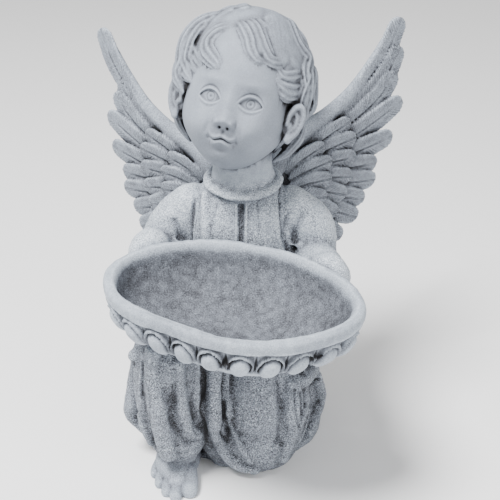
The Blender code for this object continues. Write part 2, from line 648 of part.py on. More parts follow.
def foot():
    """The bare foot that shows below the hem, with its five toes."""
    shapes = [
        rod([(-38, -48, 8), (-38, -58, 7), (-35, -72, 4)], (15, 14, 8.5), facing=(0, 0, 1), flat=0.85),
        blob((-37, -55, 18), (13, 12, 14)),
    ]
    toes = ((-27.5, -79, 3.8, 5.8), (-35.8, -84, 2.6, 4.2), (-42, -80, 2.4, 3.9), (-47.6, -72, 2.4, 3.7),
            (-52, -62, 2.2, 3.5))
    for x, y, z, radius in toes:
        back = (x * 0.8 - 7.0, y + 18, z + 4.5)
        path = [back, (x, y + 5, z + 1.2), (x, y, z)]
        shapes.append(rod(path, (radius * 0.9, radius, radius), sides=8, steps=3))
    return merged(shapes)


# Building the solid.


def stone():
    material = bpy.data.materials.new("cast_stone")
    material.use_nodes = True
    shader = material.node_tree.nodes["Principled BSDF"]
    shader.inputs["Base Color"].default_value = STONE
    shader.inputs["Roughness"].default_value = 0.85
    shader.inputs["Metallic"].default_value = 0.0
    return material


def mass(name, shape, grain, material):
    """An object from a shape, remeshed, smoothed and thinned as its grain says."""
    points, faces = shape
    voxel, smoothing, triangles = grain
    mesh = bpy.data.meshes.new(name)
    mesh.from_pydata([tuple(p) for p in points * UNIT], [], faces)
    mesh.materials.append(material)
    made = bpy.data.objects.new(name, mesh)
    bpy.context.scene.collection.objects.link(made)
    if voxel:
        remesh = made.modifiers.new("melt", "REMESH")
        remesh.mode = "VOXEL"
        remesh.voxel_size = voxel * UNIT
    if smoothing:
        smooth = made.modifiers.new("smooth", "SMOOTH")
        smooth.factor = 0.5
        smooth.iterations = int(smoothing)
    thin = made.modifiers.new("thin", "DECIMATE")
    thin.ratio = min(1.0, triangles / triangle_count(made))
    return made


def triangle_count(made):
    graph = bpy.context.evaluated_depsgraph_get()
    graph.update()
    evaluated = made.evaluated_get(graph)
    mesh = evaluated.to_mesh()
    mesh.calc_loop_triangles()
    count = len(mesh.loop_triangles)
    evaluated.to_mesh_clear()
    return count


def joined(base, other, operation="UNION"):
    """Join or cut. The masses graze each other, and this solver keeps such skins closed."""
    step = base.modifiers.new(operation.lower(), "BOOLEAN")
    step.operation = operation
    step.solver = "MANIFOLD"
    step.object = other


def shells(mesh):
    """The separate skins of an edit mesh, each as a list of faces."""
    left, found = set(mesh.faces), []
    while left:
        shell, queue = [], [left.pop()]
        while queue:
            face = queue.pop()
            shell.append(face)
            near = {other for edge in face.edges for other in edge.link_faces} & left
            left -= near
            queue += near
        found.append(shell)
    return found


def settled(figure, helpers):
    """Apply the figure's modifiers, fill what they closed in, and clear the helpers away."""
    evaluated = figure.evaluated_get(bpy.context.evaluated_depsgraph_get())
    solid = bpy.data.meshes.new_from_object(evaluated)
    skin = bmesh.new()
    skin.from_mesh(solid)
    inner = sorted(shells(skin), key=len)[:-1]
    bmesh.ops.delete(skin, geom=[face for shell in inner for face in shell], context="FACES")
    skin.to_mesh(solid)
    skin.free()
    figure.modifiers.clear()
    figure.data = solid
    for helper in helpers:
        bpy.data.objects.remove(helper)


def floor_block():
    """A block under z = 0, wide enough to cut the whole figure flat."""
    side, deep = 2 * FIGURE_HEIGHT, 0.2 * FIGURE_HEIGHT
    mesh = bpy.data.meshes.new("floor_block")
    block = bmesh.new()
    bmesh.ops.create_cube(block, size=1.0)
    bmesh.ops.scale(block, vec=(side, side, deep), verts=block.verts)
    bmesh.ops.translate(block, vec=(0, 0, -deep / 2), verts=block.verts)
    block.to_mesh(mesh)
    block.free()
    made = bpy.data.objects.new("floor_block", mesh)
    bpy.context.scene.collection.objects.link(made)
    return made


def main():
    for old in list(bpy.data.objects):
        bpy.data.objects.remove(old)
    material = stone()
    figure = mass("angel_figurine", robe_shape(), BODY_GRAIN, material)
    parts = [
        mass("head", head_shape(), HEAD_GRAIN, material),
        mass("hair", hair_shape(), HAIR_GRAIN, material),
        mass("wing_left", wing_shape(-1), WING_GRAIN, material),
        mass("wing_right", wing_shape(1), WING_GRAIN, material),
        mass("bowl", bowl_shape(), BOWL_GRAIN, material),
        mass("hand_left", hand(-1), LIMB_GRAIN, material),
        mass("hand_right", hand(1), LIMB_GRAIN, material),
        mass("foot", foot(), LIMB_GRAIN, material),
    ]
    for part in parts:
        joined(figure, part)
    cuts = [mass("slit", neck_slit(), SLIT_GRAIN, material), floor_block()]
    for cut in cuts:
        joined(figure, cut, "DIFFERENCE")
    settled(figure, parts + cuts)


main()
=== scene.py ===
"""The looks of a kneeling cherub that holds an oval bowl: one casting in weathered stone-grey resin.

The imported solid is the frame. One finely carved mesh stands for it, in the same pose and size.
Places are in figure units: one unit is a three-hundredth of the figure's height, 1 mm as built.
The figure faces -Y, and each mass is heaped up, melted together, carved along lines and joined.
"""

import math

import bmesh
import bpy
import numpy as np
from mathutils import Matrix, Vector, noise
from mathutils.bvhtree import BVHTree
from mathutils.kdtree import KDTree


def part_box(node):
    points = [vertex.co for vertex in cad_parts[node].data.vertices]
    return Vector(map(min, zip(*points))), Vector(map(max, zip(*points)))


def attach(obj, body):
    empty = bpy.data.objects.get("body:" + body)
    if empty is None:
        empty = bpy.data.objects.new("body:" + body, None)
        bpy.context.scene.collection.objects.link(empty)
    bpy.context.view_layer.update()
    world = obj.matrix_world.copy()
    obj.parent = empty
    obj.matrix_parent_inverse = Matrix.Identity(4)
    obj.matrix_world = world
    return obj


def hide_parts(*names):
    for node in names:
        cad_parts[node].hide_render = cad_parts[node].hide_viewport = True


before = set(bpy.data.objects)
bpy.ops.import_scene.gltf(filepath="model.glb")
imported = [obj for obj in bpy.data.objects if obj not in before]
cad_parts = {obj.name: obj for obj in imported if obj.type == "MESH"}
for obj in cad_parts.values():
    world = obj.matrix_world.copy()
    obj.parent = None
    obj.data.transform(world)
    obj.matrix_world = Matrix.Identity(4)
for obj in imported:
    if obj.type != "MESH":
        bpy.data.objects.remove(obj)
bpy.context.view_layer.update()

NODE = "angel_figurine"

# The height of the solid's highest point in figure units fixes the unit.
TOP = 299.03
UNIT = (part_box(NODE)[1].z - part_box(NODE)[0].z) / TOP

# The bowl, in figure units.
BOWL_WIDTH = 153.0
BOWL_DEPTH = 107.0
BOWL_HEIGHT = 46.0
BOWL_WALL = 6.5
BOWL_FLOOR = 8.0
RIM_BAND = 8.5
RIM_STEP = 2.2
EGG_COUNT = 22
EGG_GAP = 0.8
BOWL_CENTRE = Vector((-1.5, -82.0, 111.0))
BOWL_TILT = (-8.0, 3.0, 6.0)  # yaw, roll and pitch in degrees, as for the head
BOWL_FULLNESS = 2.4
# Where the bowl's outline leaves a true oval: turn from +X and spread in degrees, and share of the radius.
BOWL_SWAYS = ((5, 25, 0.035), (185, 22, -0.02), (246, 38, -0.19), (310, 35, -0.05))
EGG_SHARE = 0.42
EGG_DROOP = 0.35

# The head.
HEAD_CENTRE = Vector((1.0, -8.0, 248.0))
HEAD_SHARES = (1.0, 1.04, 1.1)
HEAD_TILT = (-8.0, 9.0, -20.0)

# The wings.
WING_ROOT_Y = 23.0
WING_SWEEP = 0.62
WING_SPAN = 96.0
LEFT_WING_DROOP = 11.0
LEFT_WING_SAG = 5.0
LEFT_WING_TRIM = (1.0, 0.74, 0.86, 0.9, 0.95)

# How fine the masses are: voxel, smoothing steps and triangles kept.
BODY_GRAIN = (1.0, 6, 48000)
HAIR_GRAIN = (0.7, 3, 46000)
WING_GRAIN = (0.62, 1, 21000)
LIMB_GRAIN = (0.6, 2, 6000)
HEAD_TRIANGLES = 24000
BOWL_TRIANGLES = 38000


# Closed shapes. Each is a pair: points in figure units, and faces.


def blob(centre, radii, turn=(0.0, 0.0, 0.0), cuts=4):
    """An ellipsoid, turned by Euler angles in degrees."""
    mesh = bmesh.new()
    bmesh.ops.create_icosphere(mesh, subdivisions=cuts, radius=1.0)
    mesh.verts.ensure_lookup_table()
    points = np.array([v.co for v in mesh.verts]) * np.array(radii)
    faces = [[v.index for v in f.verts] for f in mesh.faces]
    mesh.free()
    turned = Matrix.Identity(3)
    for angle, axis in zip(turn, "XYZ"):
        turned = Matrix.Rotation(math.radians(angle), 3, axis) @ turned
    return points @ np.array(turned).T + np.array(centre), faces


def quads(count, sides, steps):
    """Quads between rings of so many sides, for so many steps from one ring to the next."""
    faces = []
    for i in range(steps):
        for k in range(sides):
            n, above = (k + 1) % sides, (i + 1) % count
            faces.append([i * sides + k, i * sides + n, above * sides + n, above * sides + k])
    return faces


def stack(rings):
    """A skin over closed rings of equal counts, with a fan over each end."""
    rings = np.array(rings, float)
    count, sides = rings.shape[:2]
    points = np.concatenate([rings.reshape(-1, 3), [rings[0].mean(0), rings[-1].mean(0)]])
    faces = quads(count, sides, count - 1)
    last = (count - 1) * sides
    for k in range(sides):
        n = (k + 1) % sides
        faces.append([count * sides, n, k])
        faces.append([count * sides + 1, last + k, last + n])
    return points, faces


def hoop(rings):
    """A closed skin over rings whose last joins the first."""
    rings = np.array(rings)
    count, sides = rings.shape[:2]
    return rings.reshape(-1, 3), quads(count, sides, count)


def around(sides):
    return np.arange(sides) * 2 * math.pi / sides


def boxy(values, power):
    """Values from -1 to 1, drawn towards both ends by a power below one."""
    return np.sign(values) * np.abs(values) ** power


def smooth_path(points, steps):
    """Points on a Catmull-Rom curve through the given rows, which may hold more than three values."""
    rows = np.array(points, float)
    padded = np.concatenate([[2 * rows[0] - rows[1]], rows, [2 * rows[-1] - rows[-2]]])
    found = []
    for i in range(len(rows) - 1):
        a, b, c, d = padded[i : i + 4]
        for t in np.arange(steps) / steps:
            found.append(
                0.5 * (2 * b + (c - a) * t + (2 * a - 5 * b + 4 * c - d) * t**2
                       + (3 * b - a - 3 * c + d) * t**3)
            )
    return np.array(found + [rows[-1]])


def rod(points, radii, flat=1.0, facing=(0, -1, 0), sides=20, steps=8, flutes=0, groove=0.0,
        square=1.0, notes=None):
    """A round-ended rod along a smooth curve.

    Its section is as wide as the radius, and flat times as thick towards facing. A square below one
    makes the section boxier. A list of notes receives each ring's middle, direction, way across,
    half-width and length so far.
    """
    rows = smooth_path(np.column_stack([points, radii]), steps)
    path, reach = rows[:, :3], np.maximum(rows[:, 3], 0.15)
    along = np.gradient(path, axis=0)
    along /= np.linalg.norm(along, axis=1)[:, None]
    caps = [(math.sqrt(1 - c * c), c) for c in (0.35, 0.7, 0.93)]
    head = [(path[0] - along[0] * reach[0] * back, along[0], reach[0] * c) for back, c in caps]
    tail = [(path[-1] + along[-1] * reach[-1] * back, along[-1], reach[-1] * c) for back, c in caps]
    spine = head + list(zip(path, along, reach)) + tail[::-1]
    angles = around(sides)
    wave = 1.0 - groove * (0.5 + 0.5 * np.cos(flutes * angles)) if flutes else np.ones(sides)
    wide = boxy(np.cos(angles), square) * wave
    tall = boxy(np.sin(angles), square) * wave * flat
    rings = []
    travelled = 0.0
    for index, (place, forward, radius) in enumerate(spine):
        across = np.cross(forward, facing)
        across /= max(np.linalg.norm(across), 1e-6)
        out = np.cross(across, forward)
        rings.append(place + (np.outer(wide, across) + np.outer(tall, out)) * radius)
        if notes is not None:
            if index:
                travelled += np.linalg.norm(place - spine[index - 1][0])
            notes.append((place, forward, across, radius, travelled))
    return stack(rings)


def merged(shapes):
    """Several closed shapes as one pair of points and faces."""
    points, faces, start = [], [], 0
    for some_points, some_faces in shapes:
        points.append(some_points)
        faces += [[i + start for i in face] for face in some_faces]
        start += len(some_points)
    return np.concatenate(points), faces


def surface_of(points, faces):
    return BVHTree.FromPolygons([Vector(p) for p in points], faces)


def tree_of(points):
    """A search tree for the nearest of some points."""
    tree = KDTree(len(points))
    for index, point in enumerate(points):
        tree.insert(Vector(point), index)
    tree.balance()
    return tree


def draped(surface, points, radii, look=(0, 1, 0), sink=0.35):
    """A rod laid on a surface, seen along look. The points are (x, z), from the front or the back."""
    look = Vector(look)
    path = []
    for (x, z), radius in zip(points, radii):
        hit = surface.ray_cast(Vector((x, 0.0, z)) - look * 300.0, look)[0]
        place = Vector((x, 0.0 if hit is None else hit.y, z))
        path.append(tuple(place + look * radius * (2 * sink - 1)))
    return rod(path, radii, facing=tuple(-look))


def turn_matrix(tilt):
    """The turn for a yaw, roll and pitch in degrees."""
    yaw, roll, pitch = (Matrix.Rotation(math.radians(angle), 3, axis) for angle, axis in zip(tilt, "ZYX"))
    return np.array(yaw @ roll @ pitch)


def hill(value, width):
    return np.exp(-((value / width) ** 2))


def within(value, reach):
    """One in the middle, falling to nought at a distance on either side."""
    return np.clip(1 - (value / reach) ** 2, 0, 1)


def bump(across, up):
    """A round hill of height one, from distances in hill widths."""
    return np.exp(-(across**2 + up**2))


def step_up(value, width):
    """A smooth step from 0 to 1 about zero."""
    return 1 / (1 + np.exp(np.clip(-value / width, -40, 40)))


# The head. Its own frame has the face towards -Y, and its middle at the origin.

EYE_X = 12.2
EYE_Z = -4.6
MOUTH_Z = -25.0


def eye_relief(x, z):
    """Relief of one eye about its middle: ball, iris, pupil and lids. x grows away from the nose."""
    upper = 3.7 * (1 - np.abs(x / 6.7) ** 2.3) - 0.04 * x
    lower = -2.7 * (1 - np.abs(x / 6.7) ** 2.0) - 0.04 * x
    inside = step_up(upper - z, 0.16) * step_up(z - lower, 0.16) * step_up(6.5 - np.abs(x), 0.1)
    ball = 2.5 * np.sqrt(np.clip(1 - (x**2 + z**2) / 70.0, 0, 1))
    from_iris = np.hypot(x + 0.3, z - 0.5)
    iris = -0.5 * hill(from_iris - 2.3, 0.34) - 0.75 * hill(from_iris, 0.85)
    rim = 0.75 * hill(z - upper - 0.75, 0.62) + 0.5 * hill(z - lower + 0.6, 0.6)
    crease = -0.75 * hill(z - upper - 2.4, 0.55) * within(x, 8.4)
    under = -0.5 * hill(z - lower + 1.9, 0.8) * within(x, 7.0)
    lids = 1.5 * np.exp(-((x / 8.6) ** 4)) * hill(z - 0.4, 5.4)
    return inside * (ball - 3.2 + iris) + rim * within(x, 8.0) + crease + under + lids


def mouth_relief(x, z):
    """Relief of closed, calm lips about the middle of the line between them."""
    line = 0.75 * np.cos(x * 0.6) - 0.4 + 0.012 * x**2
    above, below = z - line, line - z
    bow = 1 - 0.3 * hill(x, 1.4)
    upper = 2.1 * bow * hill(above - 1.4, 1.3) * within(x, 8.2) ** 0.6
    lower = 2.5 * hill(below - 2.0, 1.7) * within(x, 6.8) ** 0.6
    parting = -1.3 * hill(above, 0.42) * within(x, 8.6)
    corners = -0.9 * bump((np.abs(x) - 8.4) / 1.2, (z + 0.2) / 1.2)
    return upper + lower + parting + corners - 1.2 * bump(x / 4.2, (z + 5.9) / 1.5)


def face_relief(x, z):
    """How far the face of a calm, round-cheeked child stands out from a plain egg shape."""
    side = np.abs(x)
    relief = 5.2 * bump((side - 16) / 10.5, (z + 19) / 10)
    relief += 4.0 * bump(x / 8.5, (z + 36) / 6) + 3.0 * bump(x / 12, (z + 25) / 8)
    relief += 1.4 * bump(x / 22, (z - 20) / 15) + 0.9 * bump((side - 12) / 7.5, (z - 5.5) / 2.6)
    relief -= 4.2 * bump((side - EYE_X) / 7.5, (z - EYE_Z - 1.4) / 6.5)
    relief += 2.4 * bump(x / 4.4, (z + 6) / 8) + 6.2 * bump(x / 4.5, (z + 15.0) / 3.7)
    relief += 2.8 * bump((side - 4.6) / 2.1, (z + 16.2) / 2.2)
    relief -= 2.8 * bump((side - 2.3) / 0.9, (z + 18.6) / 0.75)
    relief -= 0.6 * bump((side - 6.9) / 0.7, (z + 16.0) / 1.9)
    relief -= 0.8 * bump(x / 1.2, (z + 20.6) / 1.6)
    relief -= 0.6 * bump((side - 9.8 - 0.25 * (-z - 19)) / 1.4, (z + 20.5) / 3.2)
    relief += eye_relief(side - EYE_X, z - EYE_Z - 0.05 * (side - EYE_X))
    return relief + mouth_relief(x, z - MOUTH_Z)


def head_shape():
    """The skull and face: an egg whose points crowd to the front, pushed out by the face's relief."""
    points, faces = blob((0, 0, 0), (1, 1, 1), cuts=7)
    points = points + np.array((0.0, -0.55, -0.1))
    points /= np.linalg.norm(points, axis=1)[:, None]
    jaw = 1 + 0.12 * bump(0.0, (points[:, 2] + 0.5) / 0.32)
    egg = points * np.array((31.0, 34.0, 42.0))
    egg[:, 0] *= jaw
    front = np.clip((-points[:, 1] - 0.05) / 0.45, 0, 1)
    front = front * front * (3 - 2 * front)
    egg[:, 1] -= front * face_relief(egg[:, 0], egg[:, 2])
    return placed_head((egg, faces))


def placed_head(shape):
    """A shape in the head's frame, set on the neck with the head's tilt."""
    points, faces = shape
    return (points * np.array(HEAD_SHARES)) @ turn_matrix(HEAD_TILT).T + np.array(HEAD_CENTRE), faces


EAR_ROOT = Vector((32.5, -10.0, -8.0))
EAR_TURN = 32.0
EAR_SIZE = 0.76


def ear(side):
    """One ear, which stands out from the head: a curled rim, an inner fold, a hollow and a lobe."""
    turn = math.radians(EAR_TURN)

    def place(out, up, behind=0.0):
        out, up, behind = (EAR_SIZE * step for step in (out, up, behind))
        x = EAR_ROOT.x + out * math.cos(turn) - behind * math.sin(turn)
        return side * x, EAR_ROOT.y + out * math.sin(turn) + behind * math.cos(turn), EAR_ROOT.z + up

    outline = ((0, -3), (1, 4), (4, 9), (9, 10), (12, 5), (11.5, -2), (9, -8), (5, -12), (2, -14))
    rim = [place(*p) for p in outline]
    fold = [place(*p) for p in ((3, -8), (6.5, -5), (8, 0), (6.5, 5), (4, 5))]
    facing = (side * math.sin(turn), -math.cos(turn), 0)
    return [
        rod(rim, (1.3, 1.7, 2.0, 2.1, 2.0, 1.9, 1.9, 2.2, 2.0), facing=facing),
        rod(fold, (0.9, 1.1, 1.2, 1.1, 0.8), facing=facing),
        blob(place(5.5, -2, 2.6), (6.6, 1.8, 9.4), (0, 0, side * EAR_TURN)),
        blob(place(2.5, -4, 0.2), (1.5, 1.4, 2.0)),
        blob(place(3.5, -13), (2.8, 2.2, 3.2), (0, 0, side * EAR_TURN)),
    ]


# Locks of hair in the head's frame, each a path and its greatest half-width. The first five sweep from
# the parting to the left of the face, the next five to the right, and the rest roll over the ears.
LOCKS = (
    (((-10, -14, 35), (-18, -15, 30), (-22, -16, 24), (-21, -19, 19), (-17, -24, 16), (-12, -27, 13),
      (-9, -28, 10)), 5.2),
    (((-12, -7, 39), (-25, 1, 33), (-31, 0, 25), (-30, -9, 18), (-25, -18, 13), (-21, -23, 9)), 4.9),
    (((-14, 3, 41), (-29, 0, 33), (-36, -2, 24), (-35, -1, 17), (-30, -13, 11), (-25, -20, 6)), 4.6),
    (((-15, 2, 41), (-30, -2, 33), (-35, -6, 24), (-36, -8, 16), (-35, -9, 9), (-32, -13, 4),
      (-28, -17, 1)), 5.0),
    (((-18, 4, 42), (-31, 0, 35), (-38, -3, 26), (-40, -4, 17), (-39, -6, 9), (-40, -7, 3),
      (-37, -8, -3)), 5.4),
    (((-9, -11, 38), (-2, -17, 34), (3, -22, 29), (6, -25, 24), (10, -25, 20), (15, -24, 19)), 4.6),
    (((-9, -5, 40), (2, -14, 37), (8, -19, 31), (12, -21, 26), (17, -21, 21), (22, -18, 21),
      (25, -13, 24)), 4.4),
    (((-9, 4, 43), (6, -10, 39), (14, -13, 34), (18, -14, 30), (23, -13, 26)), 4.6),
    (((-7, 3, 44), (5, 0, 42), (17, -4, 38), (25, -3, 32), (29, -3, 26)), 5.0),
    (((-5, 4, 45), (11, 7, 43), (22, 8, 37), (28, 8, 31), (31, 3, 24)), 5.4),
    (((21, -20, 18), (24, -18, 15), (27, -15, 15), (31, -8, 17), (33, 5, 20), (35, 10, 22)), 4.2),
    (((23, -20, 11), (27, -17, 9), (31, -11, 9), (35, 0, 11), (41, 11, 12)), 4.4),
    (((25, -19, 6), (29, -15, 5), (34, -4, 6), (38, 8, 7), (44, 11, 6)), 4.0),
    (((35, 10, 24), (39, 11, 20), (41, 12, 13), (43, 12, 6), (44, 12, 0), (42, 12, -6)), 5.0),
    (((37, 11, -7), (39, 11, -12), (40, 10, -17), (37, 10, -23), (34, 9, -28), (29, 8, -33)), 4.6),
    (((-37, -3, 16), (-40, -5, 8), (-39, -7, 1), (-36, -9, -3), (-33, -12, -6)), 4.4),
    (((-37, 6, 4), (-39, 4, -6), (-36, 2, -14), (-31, -1, -19), (-26, -7, -21)), 4.6),
    (((-35, 6, -8), (-36, 4, -16), (-34, 3, -22), (-30, 3, -27), (-26, 4, -32)), 4.8),
)
LOCK_SHAPE = (0.5, 0.9, 1.0, 0.98, 0.9, 0.7, 0.3)
LOCK_SCALE = 1.35
LOCK_FLAT = 0.7
LOCK_SINK = 0.3
LOCK_STRANDS = {"sides": 45, "flutes": 9, "groove": 0.3}
SKULL_MIDDLE = Vector((0, 7, 4))


def hair_cap_point(turn, height, lift):
    """A point over the skull: turn in degrees from the face round to the side, height in degrees."""
    a, h = math.radians(turn), math.radians(height)
    across = math.cos(h)
    return (
        (37 + lift) * across * math.sin(a),
        8 - (37 + lift) * across * math.cos(a),
        4 + (39 + lift) * math.sin(h),
    )


# Rows of locks round the head: height of the root and of the tip in degrees, lift off the skull and radius.
BACK_LOCK_ROWS = ((80, -2, 1.6, 8.6), (70, -30, 1.5, 9.0), (35, -46, 1.0, 8.2))
SWING = (0, 0.6, -0.5, 0.9, -0.6, 1.3)


def outward(place):
    return tuple((Vector(place) - SKULL_MIDDLE).normalized())


def lock_bed(place, depth):
    """The place of a lock's middle: on the skull or the forehead, whichever is further out, and sunk."""
    x, y, z = place
    inside = 1 - (x / 31) ** 2 - (z / 42) ** 2
    if inside > 0 and y < 0:
        brow = -34 * math.sqrt(inside) - 1.4 * float(bump(x / 22, (z - 20) / 15))
        y = min(y, brow)
    return tuple(Vector((x, y, z)) - Vector(outward(place)) * depth)


def back_locks():
    """Wavy locks that fall from the crown over the sides and the back of the head."""
    locks = []
    for row, (top, end, lift, radius) in enumerate(BACK_LOCK_ROWS):
        for k in range(12):
            turn = 82 + 17.5 * k + 8 * (row % 2)
            sway = (7, -6, 7)[row]
            path = [
                hair_cap_point(turn + sway * s, h, lift + (1.0 if i % 2 else -0.5))
                for i, (h, s) in enumerate(zip(np.linspace(top, end, 6), SWING))
            ]
            radii = np.array((0.5, 0.95, 1.0, 1.0, 0.85, 0.4)) * radius
            locks.append(rod(path, radii, flat=0.52, facing=outward(path[3]), **LOCK_STRANDS))
    return locks


def top_locks():
    """Broad flat strands that run from the parting over the crown to both sides."""
    locks = []
    for side, start, end in ((-1, 200, 290), (1, 40, 170)):
        for turn in np.linspace(start, end, 7):
            path = [hair_cap_point(turn, h, lift) for h, lift in zip((84, 68, 50, 32), (4.0, 4.0, 2.5, 1.0))]
            path[0] = (-8.0, -1.0 + 1.5 * side, 45.0)
            locks.append(rod(path, (3.0, 8.0, 9.0, 7.0), flat=0.22, facing=outward(path[2]), sides=48,
                             flutes=16, groove=0.16))
    return locks


def hair_shape():
    """The hair: a cap over the skull with locks on it, and the ears that show through."""
    shapes = [blob((0, 9, 12), (37.5, 36, 36), cuts=5), blob((0, 18, -6), (33.5, 27, 32), cuts=5)]
    shapes += top_locks()
    shapes += [blob((-9, -3, 31), (8, 9, 8)), rod([(-26, -6, 22), (-31, -6, 10), (-31, -5, -3)], (5, 6.5, 6))]
    for path, width in LOCKS:
        share = np.interp(np.linspace(0, 1, len(path)), np.linspace(0, 1, len(LOCK_SHAPE)), LOCK_SHAPE)
        facing = outward(path[len(path) // 2])
        sunk = [lock_bed(place, width * LOCK_SINK) for place in path]
        shapes.append(rod(sunk, share * width * LOCK_SCALE, flat=LOCK_FLAT, facing=facing, **LOCK_STRANDS))
    return placed_head(merged(shapes + ear(-1) + ear(1) + back_locks()))


# The wings. Feathers are set out in a front view of the right wing, on a sheet that sweeps back.

LEADING_EDGE = (
    ((8, 166), 9.0), ((26, 191), 8.5), ((40, 204), 7.4), ((54, 212), 6.2),
    ((69, 225), 5.0), ((81, 241), 4.2), ((91, 257), 3.6), ((96, 266), 3.0),
)
WING_WEB = (((20, 150), 16), ((36, 166), 21), ((50, 186), 19), ((62, 205), 13), ((78, 228), 7))
LONG_FEATHERS = (
    ((44, 198), (72, 224), (89, 245), (97, 265), 8.6),
    ((44, 193), (72, 214), (90, 231), (97, 245), 9.2),
    ((44, 188), (70, 204), (86, 217), (94, 228), 9.4),
    ((43, 182), (68, 192), (86, 202), (98, 210), 9.6),
    ((42, 176), (66, 180), (82, 184), (92, 187), 9.6),
    ((41, 170), (60, 171), (72, 171), (82, 171), 9.2),
    ((40, 164), (60, 162), (72, 160), (82, 159), 8.8),
    ((38, 158), (54, 154), (66, 150), (75, 147), 8.6),
    ((36, 152), (51, 146), (62, 140), (71, 135), 8.4),
    ((33, 146), (44, 138), (54, 130), (61, 123), 8.0),
    ((28, 140), (36, 130), (43, 120), (48, 112), 7.4),
)
COVERT_TIPS = ((62, 204), (66, 193), (66, 180), (64, 167), (61, 155), (55, 143), (45, 131))
SMALL_COVERT_TIPS = ((44, 192), (49, 181), (49, 169), (46, 157), (39, 146))
COVERT_REACH = (25, 18)
COVERT_SLOPE = 34.0
COVERT_TURN = 13.0


def left_wing_fall(x):
    """How much lower the left wing is held than the right one, at a distance from the spine."""
    return LEFT_WING_DROOP * x / WING_SPAN + LEFT_WING_SAG * math.sin(math.pi * min(x / WING_SPAN, 1.0))


def wing_point(x, z, side, lift=0.0):
    """A point of the wing's sheet, lifted towards the front."""
    across = math.hypot(1.0, WING_SWEEP)
    return (
        side * (x + lift * WING_SWEEP / across),
        WING_ROOT_Y + WING_SWEEP * x - lift / across,
        z - (left_wing_fall(x) if side < 0 else 0.0),
    )


def feather(points, half_width, side, lifts, notes, thickness=1.15, twist=0.26):
    """One feather: a flat blade with a round end, turned a little so that it overlaps the next."""
    path = [wing_point(x, z, side, lift) for (x, z), lift in zip(points, lifts)]
    widths = np.interp(np.linspace(0, 1, len(path)), (0, 0.5, 0.85, 1), (0.75, 1.0, 1.0, 0.88)) * half_width
    face = (side * WING_SWEEP, -1.0, -twist if lifts[-1] >= 0 else twist)
    rings = []
    shape = rod(path, widths, flat=thickness / half_width, facing=face, square=0.55, sides=28, notes=rings)
    notes.append((shape[0][:-2], rings))
    return shape


def wing_shape(side, notes):
    """One wing: its bony leading edge, the long feathers and two rows of coverts on both faces."""
    facing = (side * WING_SWEEP, -1, 0)
    edge, web = ([wing_point(x, z, side) for (x, z), _ in rows] for rows in (LEADING_EDGE, WING_WEB))
    shapes = [
        rod(edge, [r for _, r in LEADING_EDGE], flat=0.62, facing=facing, sides=32),
        rod(web, [r for _, r in WING_WEB], flat=0.13, facing=facing),
    ]
    for k, (root, *rest, width) in enumerate(LONG_FEATHERS):
        share = LEFT_WING_TRIM[k] if side < 0 and k < len(LEFT_WING_TRIM) else 1.0
        points = [root] + [tuple(a + (b - a) * share for a, b in zip(root, point)) for point in rest]
        shapes.append(feather(points, width, side, (-0.5, 0.0, 0.6, 1.0), notes))
    for face in (1, -1):
        for row, tips in enumerate((COVERT_TIPS, SMALL_COVERT_TIPS)):
            for k, (x, z) in enumerate(tips):
                slope = math.radians(COVERT_SLOPE - COVERT_TURN * k)
                reach = COVERT_REACH[row]
                root = (x - reach * math.cos(slope), z - reach * math.sin(slope))
                middle = ((x + root[0]) / 2, (z + root[1]) / 2 + 1.0)
                height = 3.4 + 2.8 * row
                lifts = [face * h for h in (height - 2.2, height - 0.4, height + 0.2)]
                shapes.append(feather((root, middle, (x, z)), 8.2 - 0.3 * row, side, lifts, notes))
    return merged(shapes)


def feather_places(points, notes):
    """For each point its place on the nearest feather: along it, across it, off it, its length and width."""
    tree = tree_of(np.concatenate([skin for skin, _ in notes]))
    owners = []
    for skin, rings in notes:
        sides = len(skin) // len(rings)
        owners += [(rings[k // sides], rings[-1][-1]) for k in range(len(skin))]
    found = np.zeros((len(points), 5))
    for i, point in enumerate(points):
        _, owner, distance = tree.find(point)
        (middle, forward, across, radius, travelled), length = owners[owner]
        away = np.array(point) - middle
        found[i] = (travelled + away @ forward, away @ across, distance, length, radius)
    return found


# The bowl. Its own frame has the rim's plane at z = 0 and the outside of its foot below.


def oval(half_width, half_depth, height, sides=72):
    angles = around(sides)
    return np.column_stack([half_width * np.cos(angles), half_depth * np.sin(angles), np.full(sides, height)])


def egg_relief(across, down):
    """Height of the egg moulding, where across and down run from -1 to 1 over one egg.

    A dome stands in a horseshoe band that is open below, and a deep dart parts it from its neighbour.
    """
    from_egg = np.sqrt((across / 0.73) ** 2 + ((down - 0.06) / 0.85) ** 2)
    dome = 4.6 * np.sqrt(np.clip(1 - from_egg**2.6, 0, 1))
    band = 3.0 * hill(from_egg - 1.2, 0.1) * step_up(0.6 - down, 0.1)
    dart = -1.2 * np.clip((np.abs(across) - 0.94) / 0.06, 0, 1) * step_up(0.8 - np.abs(down), 0.1)
    return 0.6 + np.maximum(dome, band) + dart


def vessel_ring(turn, inset, depth):
    """The bowl's skin at a turn from its bottom, 0, to its brim, 90: share of the rim, inset and height."""
    turn = math.radians(turn)
    return math.sin(turn) ** (2 / BOWL_FULLNESS), inset, -depth * math.cos(turn)


